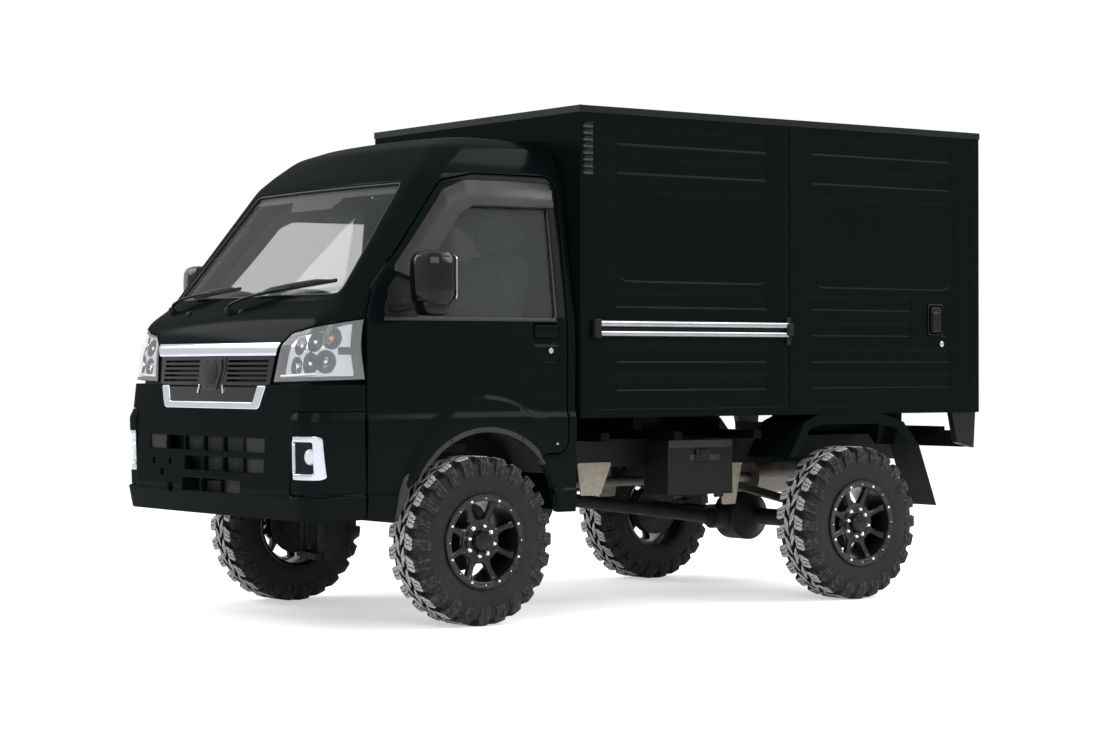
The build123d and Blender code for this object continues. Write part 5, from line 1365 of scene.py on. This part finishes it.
def makeDoorFittings(s):
    # glass and seals, strip behind the window, visor, handle, key, arch lip with its bolts
    window = onSide(door["window"], door["windowRound"])
    pane = skin(inset(window, -7), (), None, 4.5, (40.0, 40.0), (0.4, 0.1), base=-9.0)
    sealRing = skin(inset(window, -5), (inset(window, 5),), None, 8.0, (30.0, 30.0), (1.0, 0.3), base=0.6)
    belt = skin(fromSide(divided(s["belt"])), (), None, 5.0, (30.0, 8.0), base=2.0)
    strip = skin(fromSide(divided(s["rearStrip"])), (), None, 4.0, (12.0, 30.0), base=1.2)
    cover = skin(fromSide(rounded(visor["outline"], visor["round"])), (), visorDepth, 3.0, (9.0, 7.0), (0.8, 0.2))
    flap = skin(onSide(s["flap"], s["flapRound"]), (), lambda p: 2.5 - 3.0 * rise(-p[:, 2], -1100, -1078), 9.0,
                (8.0, 6.0), (2.0, 0.6), base=-1.0)
    pull = along(curve(behind(s["pull"]), 16), disc(2.2, 8), (1, 0, 0))
    y, z, *size = s["key"]
    key = movedTo(keyBarrel(*size), cabPlace(*fromSide(((y, z),)).T)[0])
    bolts = [movedTo(turned(lip["bolt"], 12), behind((lip["boltX"], *onArch(np.radians(a), lip["boltRise"]))))
             for a in lip["bolts"]]
    bothSides((
        ("door_glass_*_pane", pane, "window", 35, "door_glass_*"),
        ("door_*_window_seal", join((sealRing, belt)), "seal", 35, ""),
        ("door_*_rear_strip", strip, "glossBlack", 35, ""),
        ("door_*_visor", cover, "smoke", 35, ""),
        ("door_*_handle", join((flap, pull)), "body", 35, ""),
        ("door_*_key", key, "nickel", 35, ""),
        ("door_*_arch_lip", archLip(lip), "lip", 30, "door_fittings_*"),
        ("door_*_arch_bolts", join(bolts), "plastic", 35, ""),
        *mirrorRows(mirror),
    ), "cab_door_*")


makeDoorFittings(fittings)
print("door fittings made")


boxSide = {
    "x": 735.0,
    "wall": (477, 1535, 774, 1945),
    "door": (1541, 2571, 774, 1945),
    "wallPans": (  # front, rear, low, high, corner
        (635, 1431, 1828, 1896, 26), (635, 1431, 1716, 1784, 26), (635, 1446, 1296, 1655, 84),
        (635, 1431, 1196, 1254, 22), (635, 1431, 982, 1042, 22), (635, 1431, 872, 932, 22)),
    "doorPans": (
        (1644, 2464, 1836, 1902, 26), (1644, 2464, 1715, 1781, 26), (1651, 2480, 1289, 1663, 84),
        (1644, 2230, 1197, 1254, 22), (1644, 2230, 1091, 1148, 22), (1644, 2464, 982, 1040, 22),
        (1644, 2464, 876, 934, 22), (2290, 2440, 1092, 1244, 14)),
    "slope": ((0, 0.8), (1.5, 0.4), (3.5, -0.9), (6.0, -2.6), (8.0, -3.3), (9.5, -3.5)),  # inset, height
    "thick": 0.7,
    "sunk": 0.3,  # fittings start this far inside the sheet
    "louvres": (8, 1718, 25.6, 487, 539),  # count, lowest, pitch, front, rear
    "wallBead": (511, 1520, 800, 2.2, 4),  # front, rear, z, height, half width
    "doorBead": (1640, 2470, 800, 1.6, 4),
    "rails": ((556, 1518, 1124, 1145, 738, 757), (556, 1518, 1087, 1106, 738, 757)),  # front, rear, low, high, in, out
    "web": (556, 1518, 1107, 1123, 738, 744),
    "channel": (552, 1520, 1084, 1148, 741, 2, 1.0),  # front, rear, low, high, out, corner, chamfer
    "ends": ((528, 562, 1078, 1152, 759, 7, 3), (1508, 1546, 1092, 1142, 760, 5, 3),
             (1516, 1540, 1056, 1166, 748, 4, 2)),
    "handle": ((2322, 2411, 1100, 1232, 731, 739, 12, 2), (2336, 2397, 1112, 1220, 738, 744, 10, 3)),
    "grip": (2342, 2391, 1118, 1196, 743, 748, 8, 2),
    "key": (2403, 1063, 12, 10),  # offset, z, radius, shoulder
}


def pressedSheet(bounds, pans, s):
    # flat sheet whose pans step down along rings inset from their outlines; the same sheet again behind it
    outline = divided(rounded(box2(*bounds), 6), 40)
    loops = [divided(rounded(box2(*place), radius), 30) for *place, radius in pans]
    flat, tri = cells(outline, loops)
    points = [np.c_[flat, np.full(len(flat), s["slope"][0][1])]]
    faces, start, at, have = [tri], len(flat), len(outline), sidesOf(tri)
    for loop in loops:
        m, before = len(loop), at
        for step, x in s["slope"][1:]:
            ring = inset(loop, step)
            points.append(np.c_[ring, np.full(m, x)])
            faces += turnedOver([band(before, start, m)], (at, at + 1) in have)
            before = start
            start += m
        faces.append(cells(ring)[1] + before)
        at += m
    top = np.concatenate(points)
    count = len(top)
    k = np.arange(len(outline))
    n = np.roll(k, -1)
    rim = turnedOver([np.stack((k, k + count, n + count, n), -1)], (0, 1) not in have)
    both = np.concatenate((top, top - (0, 0, s["thick"])))[:, [2, 0, 1]] + (s["x"], axleFrontY, 0)
    return outward(both, faces + [f[:, ::-1] + count for f in faces] + rim)


def acrossY(x, y, z):
    # tube whose rings stand across y, given by the x and z of their points
    return tube(behind(np.stack(np.broadcast_arrays(x, y[:, None], z), -1)))


def bead(y0, y1, z, high, wide, x):
    # half-round line pressed outwards, tapered at both ends
    a = np.linspace(0, np.pi, 9)
    t = np.linspace(0, 1, 12)
    k = np.minimum(1, np.minimum(t, 1 - t) * 12)[:, None]
    return acrossY(x + np.sin(a) * high * k, y0 + (y1 - y0) * t, z + np.cos(a) * wide * np.maximum(k, 0.2))


def railStrip(y0, y1, z0, z1, x0, x1):
    # drawn strip with a rounded face, carried along y
    z, h = (z0 + z1) / 2, (z1 - z0) / 2
    a = np.linspace(-np.pi / 2, np.pi / 2, 9)
    return acrossY(np.r_[x0, x1 - 4 + 4 * np.cos(a), x0], np.linspace(y0, y1, 3),
                   np.r_[z - h, z + h * np.sin(a), z + h])


def louvre(y0, y1, z, x):
    # hood with its open side down: deepest at its lower edge, closed to the sheet at both ends
    t = np.linspace(0, 1, 9)
    k = np.minimum(1, np.minimum(t, 1 - t) * 8)[:, None]
    profile = np.array(((0, 9), (3.4, 3), (4.8, -2), (3.6, -2.6), (0, -2.6)))
    return acrossY(x + profile[:, 0] * k, y0 + (y1 - y0) * t, z + profile[:, 1])


def makeBoxSides(s):
    # wall with louvres, a painted shade plate under each, and rails in front, sliding door's sheet with handle and key
    # behind it
    x = s["x"] + s["slope"][0][1]
    count, low, pitch, y0, y1 = s["louvres"]
    heights = [low + k * pitch for k in range(count)]
    hoods = [louvre(y0, y1, z + 6, x) for z in heights]
    # dark seal-rubber plates under the hoods: painted shade standing in for the open slots
    slots = [sideBlock(y0 + 3, y1 - 3, z - 8, z + 3, x - 0.4, x + 0.5, 3, 0.3) for z in heights]
    wall = [pressedSheet(s["wall"], s["wallPans"], s)] + hoods + [bead(*s["wallBead"], x - 0.4)]
    slide = [pressedSheet(s["door"], s["doorPans"], s), bead(*s["doorBead"], x - 0.4)]
    channel, *ends = [sideBlock(*row[:4], x - s["sunk"], *row[4:]) for row in (s["channel"], *s["ends"])]
    y, z, *size = s["key"]
    bothSides((
        ("box_*_front_sheet", join(wall), "box", 32, ""),
        ("box_*_rear_sheet", join(slide), "box", 32, ""),
        ("box_*_louvre_slots", join(slots), "seal", 32, ""),
        ("box_*_rails", join([railStrip(*row) for row in s["rails"]]), "rail", 40, "door_rails"),
        ("box_*_rail_channel", join([channel, railStrip(*s["web"])] + ends), "plastic", 35, ""),
        ("box_*_handle", join([sideBlock(*row) for row in s["handle"]]), "plastic", 35, ""),
        ("box_*_grip", sideBlock(*s["grip"]), "glossBlack", 35, ""),
        ("box_*_key", movedTo(keyBarrel(*size), behind((x, y, z))), "nickel", 35, ""),
    ))


makeBoxSides(boxSide)
print("box sides made")


lid = {  # front, rear, low, high, in, out, corner, chamfer
    "plate": (1146, 1304, 588, 612, 570.4, 573.0, 3, 1),
    "handle": (1176, 1248, 586, 634, 572.6, 580.0, 5, 2),
    "grip": (1196, 1228, 592, 628, 579.4, 584.0, 5, 2),
    "strip": (1038, 1372, 640, 671, 570.4, 573.4, 2, 1),
}
rear = {
    "rod": (62.0, 1689.5, 842.0, 1888.0, 6.0),  # x, y, low, high, radius
    "keepers": (864.0, 1110.0, 1420.0, 1864.0),
    "keeper": (17, 13, 1682.6, 1696.8, 6, 3),  # half width, half height, front, rear, corner, chamfer
    "handlePlate": (38, 128, 1182, 1248, 1682.6, 1687.0, 7, 1.5),
    "lever": ((62, 1690.5, 1216), (112, 1691.0, 1214), (184, 1690.0, 1208)),
    "plate": (-165, 165, 619, 768, 1664.8, 1667.4, 8, 1),
    "lenses": (("lampWhite", 474, 536), ("lampRed", 540, 606), ("amber", 610, 676)),
    "lens": (631, 679, 1666.8, 1671.0, 5, 1.5),  # low, high, front, rear, corner, chamfer
}


def makeLid(s):
    # latch and strip on the toolbox lid
    piece("toolbox_latch_plate", join([sideBlock(*s["plate"]), sideBlock(*s["strip"])]), "lip", "toolbox_lid", 35)
    piece("toolbox_latch_handle", join([sideBlock(*s["handle"]), sideBlock(*s["grip"])]), "glossBlack", "toolbox_lid",
          35)


def makeRear(s):
    # lock rods and levers on the rear doors, blank number plate, lamp lenses in three colours
    x, y, low, high, radius = s["rod"]
    rod = along(curve(((x, y, low), (x, y, (low + high) / 2), (x, y, high)), 12), disc(radius, 14), (0, 1, 0))
    wide, tall, *depths = s["keeper"]
    keepers = [backBlock(x - wide, x + wide, z - tall, z + tall, *depths) for z in s["keepers"]]
    lever = along(curve(s["lever"], 16), disc(5.0, 12, 0.8), (0, 1, 0))
    bothSides((
        ("rear_door_*_rod", rod, "nickel", 35, ""),
        ("rear_door_*_keepers", join(keepers + [backBlock(*s["handlePlate"])]), "plastic", 35, ""),
        ("rear_door_*_lever", lever, "nickel", 35, ""),
    ), "rear_door_*")
    piece("rear_plate_blank", backBlock(*s["plate"]), "trim", "truck", 35)
    for look, a, b in s["lenses"]:
        lens = backBlock(a, b, *s["lens"])
        piece(f"rear_lenses_{look}", join([lens, mirrored(lens)]), look, "truck", 35)


makeLid(lid)
makeRear(rear)
print("toolbox and rear fittings made")


wiper = {
    "arms": (((-560, 1190, 6), (-552, 1204, 22), (-470, 1226, 26), (-330, 1240, 24), (-250, 1247, 17)),
             ((-20, 1178, 6), (-8, 1192, 22), (90, 1218, 26), (230, 1240, 24), (330, 1253, 17))),
    "blades": (((-420, 1236), (-60, 1264)), ((110, 1238), (565, 1280))),
    "rubber": ((-2, -5), (2, -5), (6, 2), (5, 8), (-5, 8), (-6, 2)),
    "armSize": (7.5, 5.0),
    "spineSize": (4.5, 11),
    "rubberHigh": 7.0,
    "spineHigh": (13, 7),  # height at the ends, rise in the middle
    "points": 30,
    "pin": ((-4, 0.1), (-4, 15), (8, 14), (16, 12), (20, 8), (21, 0.1)),
}


def onCab(points, count):
    # smooth line through (x, z, height above the panel)
    q = curve(points, count)
    uv = fromFront(q[:, :2]).T
    return cabPlace(*uv) + cabNormal(*uv) * q[:, 2:]


def makeWipers(s):
    # for each side: arm, rubber, bowed spine tapering to both ends, pin
    parts, t = [], np.linspace(0, 1, s["points"])
    for arm, (a, b) in zip(s["arms"], s["blades"]):
        parts.append(along(onCab(arm, 26), disc(1.0, 10) * s["armSize"]))
        line = np.array((*a, s["rubberHigh"])) + np.outer(t, (b[0] - a[0], b[1] - a[1], 0))
        parts.append(along(onCab(line, s["points"]), s["rubber"]))
        ends, bow = s["spineHigh"]
        line[:, 2] = ends + bow * np.sin(np.pi * t)
        taper = np.clip(np.minimum(t, 1 - t) * 5, 0.25, 1)
        ring = disc(1.0, 10)[None, :, ::-1] * taper[:, None, None] * s["spineSize"]
        parts.append(along(onCab(line, s["points"]), ring))
        parts.append(stoodOn(s["pin"], 20, fromFront((arm[0][:2],)), sideways))
    obj = piece("wiper_arms_blades", join(parts), "plastic", "truck", 40)
    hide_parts("wipers")


glass = {
    "tint": ((-540, 1630), (-190, 1630), (-150, 1588), (150, 1588), (190, 1630), (540, 1630), (532, 1655),
             (-532, 1655)),
    "rear": ((-506, 1174), (506, 1174), (476, 1566), (-476, 1566)),
    "rearDepth": (440, 445),
}


def makeGlass(s):
    # windscreen with its seal, inner border and dark band at the top; rear pane
    hole = onFront(shell["screen"], shell["screenRound"])
    pane = skin(inset(hole, -8), (), None, 5.0, (60.0, 60.0), (0.5, 0.1), base=-10.0)
    border = skin(inset(hole, -6), (inset(hole, 16),), None, 1.2, (40.0, 40.0), (0.2, 0.1), base=-15.5)
    sealRing = skin(inset(hole, 0.5), (inset(hole, 7),), None, 9.0, (40.0, 40.0), (1.2, 0.4), base=-2.5)
    tint = skin(onFront(s["tint"], 6), (), None, 1.0, (60.0, 40.0), (0.1, 0.05), base=-17.5)
    obj = piece("windscreen_pane", pane, "screen", "truck")
    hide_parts("cab_glass")
    depths = [y + axleFrontY for y in s["rearDepth"]]
    piece("cab_rear_pane", placed(plate(rounded(s["rear"], 40), *depths, 0.6), frontAxes), "window", "truck")
    piece("windscreen_seal", join((sealRing, border)), "seal", "truck")
    piece("windscreen_band", tint, "seal", "truck")


axleY = axleFrontY * mm  # in metres, for the seams
seat = {
    "x": 340.0,
    "pads": {  # centre (x, offset behind the axle, z), size, lean
        "base": ((0, 86, 872), (446, 440, 118), -0.10),
        "back": ((0, 318, 1186), (430, 92, 470), 0.20),
        "head": ((0, 376, 1500), (236, 76, 150), 0.16),
    },
    "voxel": 0.010,
    "pressure": 4.0,
    "frames": 20,
    "cap": 0.014,
    "groove": 0.005,
    "grooveWide": 0.006,
    "fill": 0.7,
    "seams": {  # in metres: axis and place of each seam, then its two ends and their axis
        "base": ((0, 0.135, axleY - 0.2, axleY + 0.4, 1), (0, -0.135, axleY - 0.2, axleY + 0.4, 1),
                 (1, axleY + 0.05, -0.135, 0.135, 0), (1, axleY + 0.15, -0.135, 0.135, 0)),
        "back": ((0, 0.13, 0.9, 1.5, 2), (0, -0.13, 0.9, 1.5, 2), (2, 1.12, -0.13, 0.13, 0), (2, 1.24, -0.13, 0.13, 0),
                 (2, 1.36, -0.13, 0.13, 0)),
        "head": ((0, 0.085, 1.4, 1.6, 2), (0, -0.085, 1.4, 1.6, 2)),
    },
    "posts": ((362, 1390), (368, 1420), (374, 1450)),
    "postX": 60,
    "cheek": ((200, 800), (400, 800), (395, 960), (330, 1010), (250, 960)),
    "cheekX": (232, 8),  # from the seat's middle, half thickness
    "tray": (-120, 300, 782, 812),
    "trayX": 205,
}


def coordinates(mesh, kind="vertices", name="co"):
    # places of the mesh's points, or their normals
    out = np.empty(len(mesh.vertices) * 3, np.float32)
    getattr(mesh, kind).foreach_get(name, out)
    return out.reshape(-1, 3).astype(float)


def applied(obj):
    # the modifiers' result put into the object's own mesh
    mesh = bpy.data.meshes.new_from_object(obj.evaluated_get(bpy.context.evaluated_depsgraph_get()))
    old = obj.data
    obj.modifiers.clear()
    obj.data = mesh
    bpy.data.meshes.remove(old)


def blown(obj, s):
    # remesh, blow up with cloth pressure over some frames, cap the movement, one subdivision
    remesh = obj.modifiers.new("remesh", "REMESH")
    remesh.mode = "VOXEL"
    remesh.voxel_size = s["voxel"]
    applied(obj)
    start = coordinates(obj.data)
    cloth = obj.modifiers.new("cloth", "CLOTH")
    cloth.settings.use_pressure = True
    cloth.settings.uniform_pressure_force = s["pressure"]
    cloth.settings.effector_weights.gravity = 0
    cloth.point_cache.frame_start = 1
    cloth.point_cache.frame_end = s["frames"]
    for f in range(1, s["frames"] + 1):
        bpy.context.scene.frame_set(f)
    applied(obj)
    bpy.context.scene.frame_set(1)
    move = coordinates(obj.data) - start
    far = np.linalg.norm(move, axis=1)
    move *= (np.minimum(far, s["cap"]) / np.maximum(far, 1e-9))[:, None]
    obj.data.vertices.foreach_set("co", (start + move).astype(np.float32).ravel())
    obj.data.update()
    sub = obj.modifiers.new("smooth", "SUBSURF")
    sub.levels = sub.render_levels = 1
    applied(obj)


def sewn(mesh, seams, s):
    # seam grooves: points near a seam sink along their normals by a bell curve of the distance
    p, n = coordinates(mesh), coordinates(mesh, "vertex_normals", "vector")
    deep = np.zeros(len(p))
    for axis, value, low, high, other in seams:
        near = np.exp(-((p[:, axis] - value) / s["grooveWide"]) ** 2)
        within = rise(p[:, other], low - 0.01, low + 0.01) * (1 - rise(p[:, other], high - 0.01, high + 0.01))
        deep = np.maximum(deep, near * within)
    mesh.vertices.foreach_set("co", (p - n * (deep * s["groove"])[:, None]).astype(np.float32).ravel())
    mesh.update()


def makeSeats(s):
    # padded cushions made once about x = 0 and copied to both seats, then their hard parts
    for name, (centre, size, lean) in s["pads"].items():
        pad = piece(f"seat_left_{name}", softBox(centre, size, lean, 0.38), "seat", "truck", 180)
        blown(pad, s)
        sewn(pad.data, s["seams"][name], s)
        pad.data.shade_smooth()
        pad.data.materials.clear()
        pad.data.materials.append(finish["seat"])
        twin = bpy.data.objects.new(f"seat_right_{name}", pad.data.copy())
        bpy.context.scene.collection.objects.link(twin)
        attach(twin, "truck")
        for obj, side in ((pad, 1), (twin, -1)):
            obj.data.transform(Matrix.Translation((side * s["x"] * mm, 0, 0)))
        if name == "base":
            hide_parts("seats")
    hard = []
    for middle in (s["x"], -s["x"]):
        for x in (middle - s["postX"], middle + s["postX"]):
            hard.append(along(behind([(x, y, z) for y, z in s["posts"]]), disc(6, 10), (0, 1, 0)))
        wide, half = s["cheekX"]
        for x in (middle - wide, middle + wide):
            hard.append(placed(plate(behind(rounded(s["cheek"], 30, 8)), x - half, x + half, 3), sideAxes))
        hard.append(sideBlock(*s["tray"], middle - s["trayX"], middle + s["trayX"], 8, 3))
    piece("seat_frames", join(hard), "dash", "truck", 40)


trim = {
    "pillar": ((560, 1668), (634, 1240)),
    "pillarReach": (1262, 1668),  # low and high end along the door's edge
    "pillarGap": 5,
    "header": ((-552, 1672), (552, 1672), (500, 1760), (-500, 1760)),
    "grip": ((-588, -392, 1402), (-560, -372, 1410), (-545, -318, 1470), (-548, -262, 1530), (-580, -250, 1556)),
    "stalk": ((0, -175, 1650), (0, -160, 1615), (0, -150, 1590)),
    "overhead": (  # mirror, sensor box and its pod: centre, size, lean, power, points
        ((0, -140, 1572), (230, 26, 62), 0.15, 0.5, 28), ((-40, -172, 1640), (170, 60, 46), 0.9, 0.45, 28),
        ((60, -180, 1628), (70, 50, 50), 0.9, 0.5, 24)),
    "humps": (
        ((-340, -440, 1205), (330, 170, 130), 0.0, 0.8, 32), ((190, -450, 1200), (460, 170, 130), 0.0, 0.8, 32),
        ((-60, -420, 1190), (190, 130, 90), 0.0, 0.6, 28)),
}


def makeCabTrim(s):
    # pillar trims and header, grab handle, mirror, sensor box, dash humps
    low, high = s["pillarReach"]
    edge = doorPath(door["gap"])
    edge = edge[(edge[:, 1] > low) & (edge[:, 1] < high) & (edge[:, 0] < 0)] - (s["pillarGap"], 0)
    pillar = skin(np.concatenate((fromFront(s["pillar"]), fromSide(edge))), (), None, 6.0, (20.0, 30.0), base=-31.5)
    header = skin(onFront(s["header"], 6), (), None, 12.0, (40.0, 30.0), base=-34.0)
    piece("cab_pillar_trims", join((pillar, mirrored(pillar), header)), "trim", "truck", 40)
    grip = along(curve(behind(s["grip"]), 24), disc(11, 12, 0.7))
    stalk = along(curve(behind(s["stalk"]), 8), disc(7, 10), (0, 1, 0))
    overhead = [softBox(*row) for row in s["overhead"]]
    piece("cab_mirror_sensor", join([grip, stalk] + overhead), "dash", "truck", 50)
    piece("dash_humps", join([softBox(*row) for row in s["humps"]]), "dash", "truck", 50)


makeWipers(wiper)
makeGlass(glass)
makeSeats(seat)
makeCabTrim(trim)
print("glass, wipers, seats and trim made")
studio = {
    "floorSize": 60.0,
    "floorColor": (0.88, 0.88, 0.88),
    "floorGlow": 0.5,
    "sky": (0.80, 0.82, 0.85),
    "skyPower": 0.75,
    "lamps": (  # place, size, power, aim
        ((5.5, -6.5, 6.0), 4.0, 240.0, (0, 0, 0.8)),
        ((-6.0, -4.5, 5.0), 3.6, 220.0, (0, 0, 0.8)),
        ((1.0, 5.0, 6.5), 4.5, 330.0, (0, 0, 1.0)),
        ((6.4, 5.4, 6.4), 3.6, 330.0, (0, 0, 1.0)),
    ),
}


def backdropRays(t):
    # 1 for the rays that see the backdrop: straight from the camera, off gloss, or through glass
    path = node(t, "LightPath")
    both = node(t, "Math", [(0, path.outputs["Is Camera Ray"]), (1, path.outputs["Is Transmission Ray"])],
                operation="MAXIMUM")
    return node(t, "Math", [(0, both.outputs[0]), (1, path.outputs["Is Glossy Ray"])], operation="MAXIMUM").outputs[0]


def makeFloor(s):
    # pale square that glows only for the rays that see the backdrop
    h = s["floorSize"] / 2
    mesh = bpy.data.meshes.new("floor")
    mesh.from_pydata([(-h, -h, 0), (h, -h, 0), (h, h, 0), (-h, h, 0)], [], [(0, 1, 2, 3)])
    obj = bpy.data.objects.new("floor", mesh)
    bpy.context.scene.collection.objects.link(obj)
    m = bpy.data.materials.new("floorPale")
    m.use_nodes = True
    t = m.node_tree
    bsdf = t.nodes["Principled BSDF"]
    fill(bsdf, {"Base Color": (*s["floorColor"], 1), "Roughness": 0.9, "Specular IOR Level": 0.1,
                "Emission Color": (1, 1, 1, 1)})
    glow = node(t, "MapRange", [(0, backdropRays(t)), (3, 0.0), (4, s["floorGlow"])])
    t.links.new(glow.outputs[0], bsdf.inputs["Emission Strength"])
    mesh.materials.append(m)


def makeWorld(s):
    # white where seen, a weaker sky for light
    world = bpy.data.worlds.new("studio")
    bpy.context.scene.world = world
    world.use_nodes = True
    t = world.node_tree
    back = t.nodes["Background"]
    seen = backdropRays(t)
    color = node(t, "Mix", [(0, seen), (6, (*s["sky"], 1)), (7, (1, 1, 1, 1))], data_type="RGBA")
    power = node(t, "MapRange", [(0, seen), (3, s["skyPower"]), (4, 1.0)])
    t.links.new(color.outputs[2], back.inputs["Color"])
    t.links.new(power.outputs[0], back.inputs["Strength"])


def makeStudioLamps(s):
    # square area lamps, each turned to its aim
    for k, (place, size, power, aim) in enumerate(s["lamps"]):
        data = bpy.data.lights.new(f"softLamp{k}", "AREA")
        data.shape = "SQUARE"
        data.size = size
        data.energy = power
        obj = bpy.data.objects.new(f"softLamp{k}", data)
        bpy.context.scene.collection.objects.link(obj)
        obj.location = place
        obj.rotation_mode = "QUATERNION"
        obj.rotation_quaternion = (Vector(aim) - Vector(place)).to_track_quat("-Z", "Y")


bpy.context.scene.view_settings.view_transform = "Standard"
makeFloor(studio)
makeWorld(studio)
makeStudioLamps(studio)
print("stage and light made")
